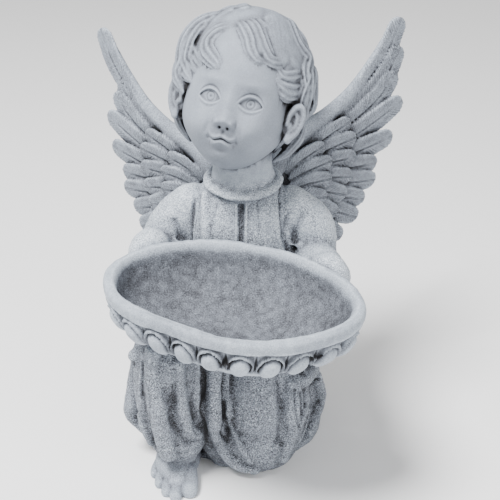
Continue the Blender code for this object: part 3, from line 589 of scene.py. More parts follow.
def bowl_rings(outer_rows, inner_rows, lip_rows=18):
    """Rings from the foot up the outside, over the lip and down the inside: share, inset and height."""
    below_band = math.degrees(math.acos(RIM_BAND / BOWL_HEIGHT))
    outside = [vessel_ring(turn, RIM_STEP, BOWL_HEIGHT) for turn in np.linspace(8, below_band, outer_rows)]
    profile = smooth_path(
        ((RIM_STEP * 0.2, -RIM_BAND), (0.0, -RIM_BAND * 0.75), (0.0, -RIM_BAND * 0.3),
         (BOWL_WALL * 0.15, -RIM_BAND * 0.08), (BOWL_WALL * 0.45, 0.0), (BOWL_WALL * 0.8, -RIM_BAND * 0.05)),
        lip_rows // 5,
    )
    lip = [(1.0, inset, height) for inset, height in profile]
    hollow = BOWL_HEIGHT - BOWL_FLOOR
    inside = [vessel_ring(turn, BOWL_WALL, hollow) for turn in np.linspace(84, 8, inner_rows)]
    return outside + lip + inside


def rim_share(angles):
    """How far the rim reaches at each turn, as a share of the true oval."""
    share = np.ones(len(angles))
    for turn, spread, amount in BOWL_SWAYS:
        away = (angles - math.radians(turn) + math.pi) % (2 * math.pi) - math.pi
        share += amount * hill(away, math.radians(spread))
    return share


def rim_points(angles):
    """The rim's outer edge: an oval with the sways of its outline."""
    oval_points = np.column_stack([BOWL_WIDTH / 2 * np.cos(angles), BOWL_DEPTH / 2 * np.sin(angles)])
    return oval_points * rim_share(angles)[:, None]


def bowl_columns(count):
    """Even steps along the rim: its points, and the way out of the wall at each."""
    fine = np.linspace(0, 2 * math.pi, 2881)
    travelled = np.concatenate([[0], np.cumsum(np.linalg.norm(np.diff(rim_points(fine), axis=0), axis=1))])
    rim = rim_points(np.interp(np.arange(count) / count * travelled[-1], travelled, fine))
    along = np.roll(rim, -1, axis=0) - np.roll(rim, 1, axis=0)
    out = np.column_stack([along[:, 1], -along[:, 0]])
    return rim, out / np.linalg.norm(out, axis=1)[:, None]


def placed_bowl(shape):
    """A shape in the bowl's frame, set on the knees with its tilt: its foot stays where they carry it."""
    points, faces = shape
    lifted = points + np.array((0, 0, BOWL_HEIGHT))
    return lifted @ turn_matrix(BOWL_TILT).T + np.array(BOWL_CENTRE), faces


def bowl_shape(columns=28, outer_rows=64, inner_rows=34):
    """The bowl, hollow to its floor, with a row of eggs below its rim and a slightly wavy brim."""
    rim, out = bowl_columns(EGG_COUNT * columns)
    across = 1 - 2 * ((np.arange(len(rim)) / columns) % 1.0)
    eggs_top, eggs_tall = -RIM_BAND - EGG_GAP, EGG_SHARE * BOWL_HEIGHT
    rings = []
    for index, (share, inset, height) in enumerate(bowl_rings(outer_rows, inner_rows)):
        ring = np.column_stack([(rim - out * inset) * share, np.full(len(rim), height)])
        down = 2 * (eggs_top - height) / eggs_tall - 1
        if index < outer_rows and abs(down) < 1.1:
            proud = egg_relief(across, down)
            ring[:, :2] += out * proud[:, None]
            ring[:, 2] -= proud * EGG_DROOP
        rings.append(ring)
    return placed_bowl(stack(rings))


def bowl_side_point(side, share, down, forward):
    """A point outside the bowl's end, in the figure's frame."""
    local = np.array([[side * BOWL_WIDTH / 2 * share, forward, -down]])
    return tuple(placed_bowl((local, []))[0][0])


# The body and its robe.


def body_masses():
    """The large forms under the cloth: trunk, shoulders, skirt, thighs, knees and shins."""
    trunk = [
        (0, 2, 60, 47, 42), (1, 1, 85, 42, 36), (1, 0, 110, 38, 31), (1, -1, 135, 39, 29),
        (1, -1, 155, 41, 27.5), (1, 0, 168, 38, 25), (1, 0, 179, 30, 21), (1, -1, 189, 22, 18),
    ]
    skirt = [
        (-1, 6, -4, 56, 50), (-1, 6, 8, 57, 50), (-1, 5, 25, 56, 47), (-1, 4, 45, 53, 43),
        (0, 2, 65, 49, 39), (0, 0, 85, 44, 35),
    ]
    shapes = []
    for sections in (trunk, skirt):
        rows = smooth_path(sections, 5)
        shapes.append(stack([oval(w, d, 0) + np.array((x, y, z)) for x, y, z, w, d in rows]))
    shapes += [
        rod([(-20, 4, 78), (-32, -30, 90), (-40, -58, 93)], (26, 25, 21), sides=48, steps=12),
        rod([(-41, -60, 94), (-42, -57, 62), (-37, -54, 30)], (22, 21, 19), sides=48, steps=12),
        blob((16, -30, 44), (32, 33, 58), cuts=5),
        blob((12, -38, 24), (30, 26, 30), cuts=5),
        rod([(32, -8, 72), (36, -4, 38), (37, 8, 6)], (19, 19, 16), sides=48, steps=12),
        rod([(-17, -48, 92), (-17, -50, 60), (-13, -45, 28), (-8, -42, 8)], (15, 15, 14, 11),
            sides=48, steps=12),
        rod([(-52, -28, 70), (-56, -30, 40), (-52, -26, 16)], (16, 17, 14), sides=48, steps=12),
    ]
    return shapes


# Folds seen from the front as (x, z) and radius, laid over the masses and sunk by a share of their height.
FRONT_FOLD_SINK = 0.55
FRONT_FOLDS = (
    (((-47, 106), (-46, 72), (-43, 44), (-41, 27)), (5.5, 6.5, 6.5, 6.0)),
    (((-31, 100), (-31, 68), (-27, 46), (-22, 37)), (3.6, 4.0, 3.8, 2.6)),
    (((-22, 96), (-23, 70), (-21, 50)), (2.4, 2.8, 2.2)),
    (((-11, 95), (-12, 68), (-12, 48), (-9, 28), (0, 13), (14, 7)), (4.4, 4.8, 5.0, 5.2, 4.8, 3.6)),
    (((-2, 94), (-4, 60), (-2, 44), (4, 29), (11, 16)), (2.0, 2.4, 2.4, 2.4, 1.8)),
    (((32, 96), (36, 62), (37, 40), (32, 15)), (4.6, 5.6, 5.4, 4.0)),
    (((42, 76), (45, 58), (44, 43), (38, 28)), (2.2, 2.6, 2.6, 2.0)),
    (((36, 69), (44, 66), (50, 59)), (4.4, 5.0, 4.4)),
    (((52, 52), (54, 28), (48, 10)), (4.6, 5.2, 4.0)),
    (((-60, 98), (-64, 74), (-68, 46), (-69, 34), (-61, 24)), (4.4, 5.0, 6.2, 6.0, 4.4)),
    (((-53, 102), (-55, 80), (-57, 52), (-53, 30)), (2.6, 3.2, 3.8, 3.0)),
    (((-21, 183), (-20, 165), (-19, 150), (-20, 130)), (2.4, 3.0, 3.2, 3.0)),
)
# Folds of the back, as (x, z) and radius. They spread from between the shoulders.
BACK_FOLD_FALL = ((0.45, 150), (0.7, 105), (0.95, 60), (1.12, 20), (1.15, 2))
BACK_FOLDS = tuple(
    (tuple((x * spread, z) for spread, z in BACK_FOLD_FALL),
     tuple(r * size for r in (2.4, 3.6, 4.8, 5.4, 5.0)))
    for x, size in ((-45, 1.0), (-31, 0.75), (-17, 1.15), (1, 0.8), (15, 1.1), (30, 0.7), (45, 1.0))
)
WRISTS = {-1: (0.79, 11, 47), 1: (0.66, 12, 50)}
ELBOW_OUT = {-1: 49.0, 1: 45.0}


def sleeve(side):
    """Shoulder, upper arm and forearm in a wide sleeve that ends in a turned cuff by the bowl."""
    wrist = bowl_side_point(side, *WRISTS[side])
    out = ELBOW_OUT[side]
    elbow = (side * out, -1, 139)
    arm = rod([(side * 31 + 1, 1, 168), (side * 42 + 1, 0, 156), elbow], (16, 17.5, 17.5), sides=48)
    forearm = rod([elbow, (side * (out + 3), -14, 139), wrist], (17, 15.5, 12), sides=48)
    cuff_end = tuple(np.array(wrist) + np.array((side * 1.5, -4.0, -1.0)))
    cuff = rod([wrist, cuff_end], (12.5, 12.5), sides=48)
    hanging = rod([(side * (out + 2), -6, 132), (side * (out + 4), -12, 114), (side * (out + 4), -18, 102)],
                  (13, 11, 7), sides=40)
    return [arm, forearm, cuff, hanging]


def sleeve_folds(side):
    """Creases round the bend of the elbow."""
    out = ELBOW_OUT[side]
    rings = []
    for k, (y, z, drop) in enumerate(((-6, 146, 1.5), (-12, 140, 2.7), (-20, 136, 3.9))):
        points = [(side * (out - 11 + 4 * k), y - 14, z + 8), (side * (out + 8), y - 8, z + 4 - drop),
                  (side * (out + 16), y + 3, z - 8), (side * (out + 11), y + 10, z - 16)]
        rings.append(rod(points, (1.5, 2.4, 2.6, 1.5), facing=(side, 0, 0.5)))
    return rings


COLLAR_WIDTH = 5.2
COLLAR_THICKNESS = 3.6
COLLAR_LEAN = 1.0


def collar():
    """The flat band round the neck of the robe. It leans outward with the shoulders."""
    rings = []
    section = around(20)
    wide = boxy(np.cos(section), 0.5) * COLLAR_WIDTH / 2
    thick = boxy(np.sin(section), 0.5) * COLLAR_THICKNESS / 2
    for angle in np.linspace(0, 2 * math.pi, 73)[:-1]:
        way = np.array((math.sin(angle), -math.cos(angle), 0.0))
        middle = np.array((2, -2, 190 - 3.5 * math.cos(angle))) + way * (23 - 2 * abs(way[1]))
        down = np.array((way[0], way[1], -COLLAR_LEAN)) / math.hypot(1, COLLAR_LEAN)
        out = np.array((way[0] * COLLAR_LEAN, way[1] * COLLAR_LEAN, 1.0)) / math.hypot(1, COLLAR_LEAN)
        rings.append(middle + np.outer(wide, down) + np.outer(thick, out))
    return hoop(rings)


def neck():
    return rod([(2, 0, 176), (2, -3, 200), (1, -8, 226)], (23, 18.5, 18.5), sides=48)


def robe_shape():
    masses = body_masses()
    sleeves = sleeve(-1) + sleeve(1)
    surface = surface_of(*merged(masses))
    folds = [draped(surface, path, radii, sink=FRONT_FOLD_SINK) for path, radii in FRONT_FOLDS]
    folds += [draped(surface, path, radii, look=(0, -1, 0)) for path, radii in BACK_FOLDS]
    return merged(masses + sleeves + sleeve_folds(-1) + sleeve_folds(1) + folds + [collar(), neck()])


# Lines cut into the robe, seen from the front: path as (x, z), half-width and depth. A depth below
# nought raises a ridge instead.
ROBE_LINES = (
    (((-27, 186), (-28, 176), (-29, 167), (-30, 157), (-31, 145)), 1.3, 2.6),
    (((-22, 188), (-24, 179), (-26, 170), (-27, 158)), 0.8, 0.8),
    (((-12, 182), (-15, 172), (-17, 160)), 1.1, 0.7),
    (((12, 186), (13, 174), (14, 162)), 0.8, 0.5),
    (((26, 190), (26, 180), (27, 170), (28, 163), (29, 152)), 1.1, 1.9),
    (((30, 172), (30, 162), (31, 152), (33, 145)), 1.5, 2.2),
    (((-43, 168), (-39, 161), (-36, 150)), 2.6, 1.8),
    (((42, 176), (37, 164), (35, 150)), 2.6, 1.6),
    (((-36, 88), (-36, 72), (-37, 59), (-34, 46), (-29, 36), (-19, 34)), 2.4, 1.9),
    (((-26, 78), (-25, 58), (-23, 43), (-20, 38)), 1.6, 1.1),
    (((-18, 92), (-18, 75), (-20, 57), (-18, 41), (-18, 24)), 1.1, 2.0),
    (((-5, 90), (-6, 72), (-7, 63), (-6, 49), (-7, 38), (-3, 26)), 1.5, 2.6),
    (((-2, 92), (-4, 72), (-4, 58), (-4, 47), (1, 36), (5, 30)), 0.8, -1.0),
    (((26, 86), (29, 63), (30, 51), (29, 37), (27, 26)), 2.2, 1.6),
    (((40, 80), (42, 62), (44, 49), (47, 40), (45, 25), (38, 15)), 1.0, -1.3),
    (((38, 72), (40, 58), (42, 46), (42, 34)), 1.5, 1.6),
    (((43, 50), (52, 51), (60, 50)), 2.2, 2.6),
    (((-50, 88), (-51, 57), (-51, 34), (-51, 19)), 1.5, 1.9),
    (((-54, 104), (-55, 83), (-55, 70)), 1.2, 2.0),
    (((-60, 99), (-62, 88), (-61, 74), (-60, 59), (-65, 47)), 1.2, 1.6),
    (((-49, 25), (-42, 23), (-32, 22), (-20, 23)), 0.8, 1.0),
)
SLIT_X = 2.5
SLIT_TOP = 181.0
SLIT_END = 144.0
SLIT_RADIUS = 1.7


# Hands and feet.


def hand(side):
    """A hand under the end of the bowl, its fingers spread along the moulding and the thumb on the rim."""
    palm = bowl_side_point(side, 0.8, 21, 28)
    shapes = [blob(palm, (8, 13, 7.5), (0, 0, side * 25))]
    for k in range(4):
        start = bowl_side_point(side, 0.84 - 0.04 * k, 19 + 4.0 * k, 24)
        bend = bowl_side_point(side, 0.9 - 0.05 * k, 21 + 4.2 * k, 9 + 1.5 * k)
        end = bowl_side_point(side, 0.86 - 0.06 * k, 22 + 4.4 * k, -5 + 2.5 * k)
        shapes.append(rod([start, bend, end], (3.4, 3.3, 2.8)))
    thumb = [bowl_side_point(side, s, d, f) for s, d, f in ((0.82, 15, 34), (0.9, 13, 26), (0.95, 14, 14))]
    shapes.append(rod(thumb, (3.8, 3.6, 2.9)))
    return merged(shapes)


TOES = ((-27.5, -79, 3.8, 5.8), (-35.8, -84, 2.6, 4.2), (-42, -80, 2.4, 3.9), (-47.6, -72, 2.4, 3.7),
        (-52, -62, 2.2, 3.5))


def foot():
    """The bare foot that shows below the hem, with its five toes."""
    shapes = [
        rod([(-38, -48, 8), (-38, -58, 7), (-35, -72, 4)], (15, 14, 8.5),
            facing=(0, 0, 1), flat=0.85, sides=40),
        blob((-37, -55, 18), (13, 12, 14)),
    ]
    for x, y, z, radius in TOES:
        back = (x * 0.8 - 7.0, y + 18, z + 4.5)
        path = [back, (x, y + 5, z + 1.2), (x, y, z)]
        shapes.append(rod(path, (radius * 0.8, radius * 0.92, radius * 0.96)))
    return merged(shapes)


# Turning shapes into meshes.


def placed(name, data):
    """A new object in the scene that shows the data."""
    made = bpy.data.objects.new(name, data)
    bpy.context.scene.collection.objects.link(made)
    return made


def solid(name, shape):
    """An object from a shape in figure units."""
    points, faces = shape
    mesh = bpy.data.meshes.new(name)
    mesh.from_pydata((points * UNIT).tolist(), [], faces)
    return placed(name, mesh)


def applied(made):
    """Apply an object's modifiers."""
    evaluated = made.evaluated_get(bpy.context.evaluated_depsgraph_get())
    mesh = bpy.data.meshes.new_from_object(evaluated)
    made.modifiers.clear()
    made.data = mesh
    return made


def melted(made, voxel, smoothing):
    """Melt the shapes of an object to one skin and smooth it."""
    remesh = made.modifiers.new("melt", "REMESH")
    remesh.mode = "VOXEL"
    remesh.voxel_size = voxel * UNIT
    if smoothing:
        smooth = made.modifiers.new("smooth", "SMOOTH")
        smooth.factor = 0.5
        smooth.iterations = smoothing
    return applied(made)


def read(mesh, part="co"):
    """Places or normals of a mesh's vertices as rows."""
    values = np.zeros(len(mesh.vertices) * 3, np.float32)
    mesh.vertices.foreach_get(part, values)
    return values.reshape(-1, 3).astype(float) / (UNIT if part == "co" else 1.0)


def faces_of(mesh):
    return [tuple(face.vertices) for face in mesh.polygons]


def pushed(made, offset):
    """Move each vertex along its normal by its own offset, in figure units."""
    mesh = made.data
    places = read(mesh) + read(mesh, "normal") * offset[:, None]
    mesh.vertices.foreach_set("co", (places * UNIT).astype(np.float32).ravel())
    mesh.update()


def line_distance(points, path):
    """Each point's distance to a polyline, and the share of the line at which it is nearest."""
    nearest = np.full(len(points), 1e9)
    share = np.zeros(len(points))
    for i in range(len(path) - 1):
        leg = path[i + 1] - path[i]
        t = np.clip((points - path[i]) @ leg / (leg @ leg), 0, 1)
        distance = np.linalg.norm(points - path[i] - np.outer(t, leg), axis=1)
        closer = distance < nearest
        nearest[closer] = distance[closer]
        share[closer] = (i + t[closer]) / (len(path) - 1)
    return nearest, share


def cuts_along(points, path, width, depth):
    """Offsets that sink a line of a half-width and depth into a skin. It fades out at both ends."""
    path = smooth_path(path, 6)
    reach = 3 * width
    inside = ((points > path.min(0) - reach) & (points < path.max(0) + reach)).all(1)
    near = np.nonzero(inside)[0]
    offset = np.zeros(len(points))
    if len(near):
        distance, share = line_distance(points[near], path)
        fade = np.clip(np.minimum(share, 1 - share) * 6, 0, 1)
        offset[near] = -depth * fade * hill(distance, width)
    return offset


def front_lines(made, lines):
    """Offsets for lines given as (x, z), laid on an object as seen from the front."""
    points = read(made.data)
    surface = surface_of(points, faces_of(made.data))
    offset = np.zeros(len(points))
    for path, width, depth in lines:
        rows = []
        for x, z in smooth_path(path, 4):
            hit = surface.ray_cast(Vector((x, -300, z)), Vector((0, 1, 0)))[0]
            if hit is not None:
                rows.append(tuple(hit))
        if len(rows) > 1:
            offset += cuts_along(points, np.array(rows), width, depth)
    return offset


def slit_offset(made):
    """A straight slot below the collar, with steep sides, a flat bottom and thin raised edges."""
    points = read(made.data)
    front = points[:, 1] < -18
    across = np.abs(points[:, 0] - SLIT_X)
    tall = step_up(SLIT_TOP - points[:, 2], 0.4) * step_up(points[:, 2] - SLIT_END, 0.4)
    slot = -2.6 * step_up(SLIT_RADIUS + 0.2 - across, 0.2)
    edges = 0.7 * hill(across - SLIT_RADIUS - 1.3, 0.7)
    return (slot + edges) * tall * front


def ripples(points, size, seed):
    """Smooth noise from -1 to 1 at each point, with bumps of about the given size."""
    shift = Vector((seed * 17.3, seed * 5.1, seed * 9.7))
    return np.array([noise.noise(Vector(p) / size + shift) for p in points]) * 2.0


def cloth_offset(made):
    """The robe's carved lines and the shallow unevenness of its cloth."""
    points = read(made.data)
    offset = front_lines(made, ROBE_LINES) + slit_offset(made)
    return offset + 0.3 * ripples(points, 14.0, 1) + 0.16 * ripples(points, 3.2, 2)


def feather_offset(made, notes):
    """A groove down each feather's shaft, slanted barbs, and a raised edge."""
    points = read(made.data)
    along, across, distance, length, radius = feather_places(points, notes).T
    share = along / length
    rim = np.maximum(np.abs(across) / np.maximum(radius, 1.0), (share - 0.9) / 0.09)
    middle = np.clip((share - 0.3) * 6, 0, 1) * np.clip((0.88 - share) * 8, 0, 1)
    on_feather = np.exp(-((distance / 1.6) ** 4))
    shaft = -0.9 * middle * hill(across, 0.75)
    barbs = -0.3 * (0.5 + 0.5 * np.cos((along - 0.9 * np.abs(across)) * 2 * math.pi / 2.6))
    edge = 0.45 * step_up(rim - 0.82, 0.05) * np.clip((share - 0.4) * 6, 0, 1)
    return (shaft + edge + barbs * np.clip(np.abs(across) - 0.8, 0, 1)) * on_feather


def thinned(made, triangles):
    made.data.calc_loop_triangles()
    thin = made.modifiers.new("thin", "DECIMATE")
    thin.ratio = min(1.0, triangles / len(made.data.loop_triangles))
    return applied(made)


def joined(base, other, operation="UNION"):
    step = base.modifiers.new(operation.lower(), "BOOLEAN")
    step.operation = operation
    step.solver = "MANIFOLD"
    step.object = other


def shells(mesh):
    """The separate skins of an edit mesh, each as a list of faces."""
    left, found = set(mesh.faces), []
    while left:
        shell, queue = [], [left.pop()]
        while queue:
            face = queue.pop()
            shell.append(face)
            near = {other for edge in face.edges for other in edge.link_faces} & left
            left -= near
            queue += near
        found.append(shell)
    return found


def settled(figure, helpers):
    """Apply the figure's modifiers, fill what they closed in, and clear the helpers away."""
    applied(figure)
    skin = bmesh.new()
    skin.from_mesh(figure.data)
    bmesh.ops.triangulate(skin, faces=skin.faces)
    inner = sorted(shells(skin), key=len)[:-1]
    bmesh.ops.delete(skin, geom=[face for shell in inner for face in shell], context="FACES")
    skin.to_mesh(figure.data)
    skin.free()
    for helper in helpers:
        bpy.data.objects.remove(helper)


def floor_block():
    """A block under z = 0, wide enough to cut the whole figure flat."""
    rows = [oval(400, 400, height, sides=4) for height in (-60, 0)]
    return solid("floor_block", stack(rows))


def cast(name, shape, grain, relief=None):
    """A mass that is melted from its shape, pushed out by its relief and thinned."""
    voxel, smoothing, triangles = grain
    made = melted(solid(name, shape), voxel, smoothing)
    if relief:
        pushed(made, relief(made))
    return thinned(made, triangles)


def build_figure():
    """The whole casting as one closed mesh."""
    figure = cast("figurine", robe_shape(), BODY_GRAIN, cloth_offset)
    parts = [thinned(solid("head", head_shape()), HEAD_TRIANGLES), cast("hair", hair_shape(), HAIR_GRAIN)]
    notes = {-1: [], 1: []}
    for side, feathers in notes.items():
        shape = wing_shape(side, feathers)
        parts.append(cast("wing", shape, WING_GRAIN, lambda wing: feather_offset(wing, feathers)))
    bowl = solid("bowl", bowl_shape())
    points = read(bowl.data)
    pushed(bowl, 0.7 * ripples(points, 26.0, 3) + 0.15 * ripples(points, 4.0, 4))
    parts.append(thinned(bowl, BOWL_TRIANGLES))
    for name, shape in (("hand_left", hand(-1)), ("hand_right", hand(1)), ("foot", foot())):
        parts.append(cast(name, shape, LIMB_GRAIN))
    places = [(mass.name, read(mass.data)) for mass in [figure] + parts]
    for part in parts:
        joined(figure, part)
    cut = floor_block()
    joined(figure, cut, "DIFFERENCE")
    settled(figure, parts + [cut])
    return figure, places, notes


# Weathering and painted shade: per-vertex values that the stone's material reads.

# How sandy each mass is, and how much paler or darker than the rest.
MASS_GRAIN = {"figurine": 1.0, "head": 0.12, "hair": 0.22, "wing": 0.5, "bowl": 0.3, "hand_left": 0.5,
              "hand_right": 0.5, "foot": 0.55}
MASS_TONE = {"figurine": 0.0, "head": -0.03, "hair": -0.1, "wing": -0.02, "bowl": 0.05, "hand_left": 0.0,
             "hand_right": 0.0, "foot": 0.03}
# How strongly raised and hollow places of a mass are rubbed or stained, where it differs from the rest.
MASS_WEAR = {"head": 0.35, "hair": 0.9}
MASS_WASH = {"head": 0.75, "hair": 1.7}
# The robe is sandier towards the ground, and darker low down and paler at the chest: partly dirt, partly
# painted shade under the bowl and painted light from above. Heights, with added grain and tone.
ROBE_SAND = ((90.0, 0.15), (140.0, 0.0))
ROBE_DIRT_AND_SHADE = ((30.0, -0.13), (95.0, -0.1), (150.0, 0.1), (190.0, 0.12))
NECK_TOP = 193.0
BOWL_INSIDE_GRAIN = 0.55
BOWL_INSIDE_TONE = -0.17
HOLLOW_RAYS = 20
HOLLOW_REACH = 7.0
# The broad reach paints shade into sheltered places, such as the eye sockets, under the chin, the neck and
# under the bowl.
PAINTED_SHADE_REACH = 34.0


def hollows(points, normals, surface, reach):
    """How shut in each vertex is within a reach, from 0 on open stone to 1 deep in a groove."""
    golden = math.pi * (3 - math.sqrt(5))
    rays = []
    for k in range(HOLLOW_RAYS):
        rise = math.sqrt(1 - (k + 0.5) / HOLLOW_RAYS)
        flat = math.sqrt(1 - rise * rise)
        rays.append((flat * math.cos(golden * k), flat * math.sin(golden * k), rise))
    shut = np.zeros(len(points))
    for i, (point, normal) in enumerate(zip(points, normals)):
        up = Vector(normal)
        turn = up.to_track_quat("Z", "X").to_matrix()
        start = Vector(point) + up * 0.15
        for ray in rays:
            distance = surface.ray_cast(start, turn @ Vector(ray), reach)[3]
            if distance is not None:
                shut[i] += (1 - distance / reach) ** 0.5
    return shut / HOLLOW_RAYS


def averaged(values, edges, rounds):
    """Values smoothed over the mesh's edges."""
    count = np.zeros(len(values))
    np.add.at(count, edges[:, 0], 1)
    np.add.at(count, edges[:, 1], 1)
    for _ in range(rounds):
        total = np.zeros_like(values)
        np.add.at(total, edges[:, 0], values[edges[:, 1]])
        np.add.at(total, edges[:, 1], values[edges[:, 0]])
        values = 0.5 * values + 0.5 * (total.T / count).T
    return values


def masses_of(points, places):
    """The name of the mass that each point belongs to."""
    tree = tree_of(np.concatenate([some for _, some in places]))
    owners = [name.split(".")[0] for name, some in places for _ in some]
    return np.array([owners[tree.find(Vector(point))[1]] for point in points])


def bowl_inside(points):
    """Where the bowl's inner face is: 1 inside, and 0 on the rim and the outside."""
    x, y, z = ((points - np.array(BOWL_CENTRE)) @ turn_matrix(BOWL_TILT) - np.array((0, 0, BOWL_HEIGHT))).T
    reach = np.hypot(x / (BOWL_WIDTH / 2), y / (BOWL_DEPTH / 2))
    reach /= rim_share(np.arctan2(y / BOWL_DEPTH, x / BOWL_WIDTH))
    hollow = BOWL_HEIGHT - BOWL_FLOOR
    down = np.clip(-z, 0, hollow)
    inner, outer = (np.sin(np.arccos(down / depth)) ** (2 / BOWL_FULLNESS) for depth in (hollow, BOWL_HEIGHT))
    middle_of_wall = (inner * (1 - 2 * BOWL_WALL / BOWL_DEPTH) + outer) / 2
    return (reach < middle_of_wall) * (z > -hollow - BOWL_FLOOR / 2) * step_up(-1.5 - z, 0.8)


def keep_values(mesh, name, values):
    layer = mesh.attributes.new(name, "FLOAT", "POINT")
    layer.data.foreach_set("value", np.asarray(values, np.float32))


def weather(made, places, notes):
    """Work out and keep the per-vertex values."""
    mesh = made.data
    mesh.validate()
    points, normals = read(mesh), read(mesh, "normal")
    edges = np.zeros(len(mesh.edges) * 2, np.int32)
    mesh.edges.foreach_get("vertices", edges)
    edges = edges.reshape(-1, 2)
    surface = surface_of(points, faces_of(mesh))
    shut = hollows(points, normals, surface, HOLLOW_REACH)
    # Painted shade: how sheltered each vertex is over a broad reach. The material darkens these places.
    shelter = hollows(points, normals, surface, PAINTED_SHADE_REACH)
    proud = np.zeros(len(points))
    for rounds in (2, 8):
        proud += 0.5 * ((points - averaged(points, edges, rounds)) * normals).sum(1)
    owners = masses_of(points, places)
    for name in set(owners):
        mine = owners == name
        proud[mine] *= MASS_WEAR.get(name, 1.0) / np.percentile(np.abs(proud[mine]), 75)
        shut[mine] *= MASS_WASH.get(name, 1.0)
    inside = bowl_inside(points) * (owners == "bowl")
    grain = np.array([MASS_GRAIN[name] for name in owners])
    tone = np.array([MASS_TONE[name] for name in owners])
    robe = owners == "figurine"
    neck = robe * (points[:, 2] > NECK_TOP)
    # Darker low on the robe and paler at the chest: partly dirt, partly painted shade and painted light.
    tone += robe * np.interp(points[:, 2], *zip(*ROBE_DIRT_AND_SHADE))
    grain += robe * np.interp(points[:, 2], *zip(*ROBE_SAND))
    grain = np.where(neck, 0.2, np.where(inside > 0, 0.3 + (BOWL_INSIDE_GRAIN - 0.3) * inside, grain))
    tone = np.where(inside > 0, tone + (BOWL_INSIDE_TONE - tone) * inside, tone)
    keep_values(mesh, "shut", averaged(shut, edges, 2))
    keep_values(mesh, "shelter", averaged(shelter, edges, 14))
    keep_values(mesh, "proud", proud)
    keep_values(mesh, "grain", averaged(grain, edges, 2))
    keep_values(mesh, "tone", averaged(tone, edges, 2))
    barbs = np.zeros((len(points), 3))
    for side in (-1, 1):
        mine = np.nonzero((owners == "wing") & (points[:, 0] * side > 0))[0]
        along, across, distance = feather_places(points[mine], notes[side]).T[:3]
        barbs[mine] = np.column_stack([along, across, np.exp(-((distance / 1.4) ** 4))])
    for name, column in zip(("barb_along", "barb_across", "feathered"), barbs.T):
        keep_values(mesh, name, column)


# The stone.


class Nodes:
    """A material's node tree, with short ways to add and join nodes."""

    def __init__(self, name):
        self.material = bpy.data.materials.new(name)
        self.material.use_nodes = True
        self.tree = self.material.node_tree
        self.shader = self.tree.nodes["Principled BSDF"]

    def feed(self, socket, value):
        if isinstance(value, bpy.types.NodeSocket):
            self.tree.links.new(value, socket)
        else:
            socket.default_value = value

    def value_of(self, name):
        node = self.tree.nodes.new("ShaderNodeAttribute")
        node.attribute_name = name
        return node.outputs["Fac"]

    def math(self, operation, *values, clamp=False):
        node = self.tree.nodes.new("ShaderNodeMath")
        node.operation = operation
        node.use_clamp = clamp
        for socket, value in zip(node.inputs, values):
            self.feed(socket, value)
        return node.outputs[0]

    def plus(self, a, b, clamp=False):
        return self.math("ADD", a, b, clamp=clamp)

    def minus(self, a, b):
        return self.math("SUBTRACT", a, b)

    def times(self, a, b):
        return self.math("MULTIPLY", a, b)

    def noise(self, size, detail=2.0, roughness=0.5):
        """Noise with features of about the given size in figure units, from 0 to 1."""
        node = self.tree.nodes.new("ShaderNodeTexNoise")
        node.inputs["Scale"].default_value = 1.0 / (size * UNIT)
        node.inputs["Detail"].default_value = detail
        node.inputs["Roughness"].default_value = roughness
        place = self.tree.nodes.new("ShaderNodeTexCoord").outputs["Object"]
        self.feed(node.inputs["Vector"], place)
        return node.outputs["Fac"]

    def span(self, value, low, high, to_low=0.0, to_high=1.0):
        node = self.tree.nodes.new("ShaderNodeMapRange")
        node.interpolation_type = "SMOOTHSTEP"
        for socket, number in zip(node.inputs, (value, low, high, to_low, to_high)):
            self.feed(socket, number)
        return node.outputs[0]

    def ramp(self, value, stops):
        node = self.tree.nodes.new("ShaderNodeValToRGB")
        band = node.color_ramp
        while len(band.elements) < len(stops):
            band.elements.new(0.5)
        for element, (place, colour) in zip(band.elements, stops):
            element.position = place
            element.color = (*colour, 1)
        self.feed(node.inputs["Fac"], value)
        return node.outputs["Color"]

    def bump(self, height, distance, strength, below=None):
        node = self.tree.nodes.new("ShaderNodeBump")
        node.inputs["Distance"].default_value = distance * UNIT
        self.feed(node.inputs["Strength"], strength)
        self.feed(node.inputs["Height"], height)
        if below is not None:
            self.feed(node.inputs["Normal"], below)
        return node.outputs["Normal"]


STONE_TONES = (
    (0.0, (0.012, 0.012, 0.014)),
    (0.22, (0.055, 0.058, 0.068)),
    (0.45, (0.135, 0.147, 0.172)),
    (0.62, (0.235, 0.262, 0.305)),
    (0.8, (0.37, 0.415, 0.47)),
    (1.0, (0.64, 0.69, 0.74)),
)
BASE_TONE = 0.64


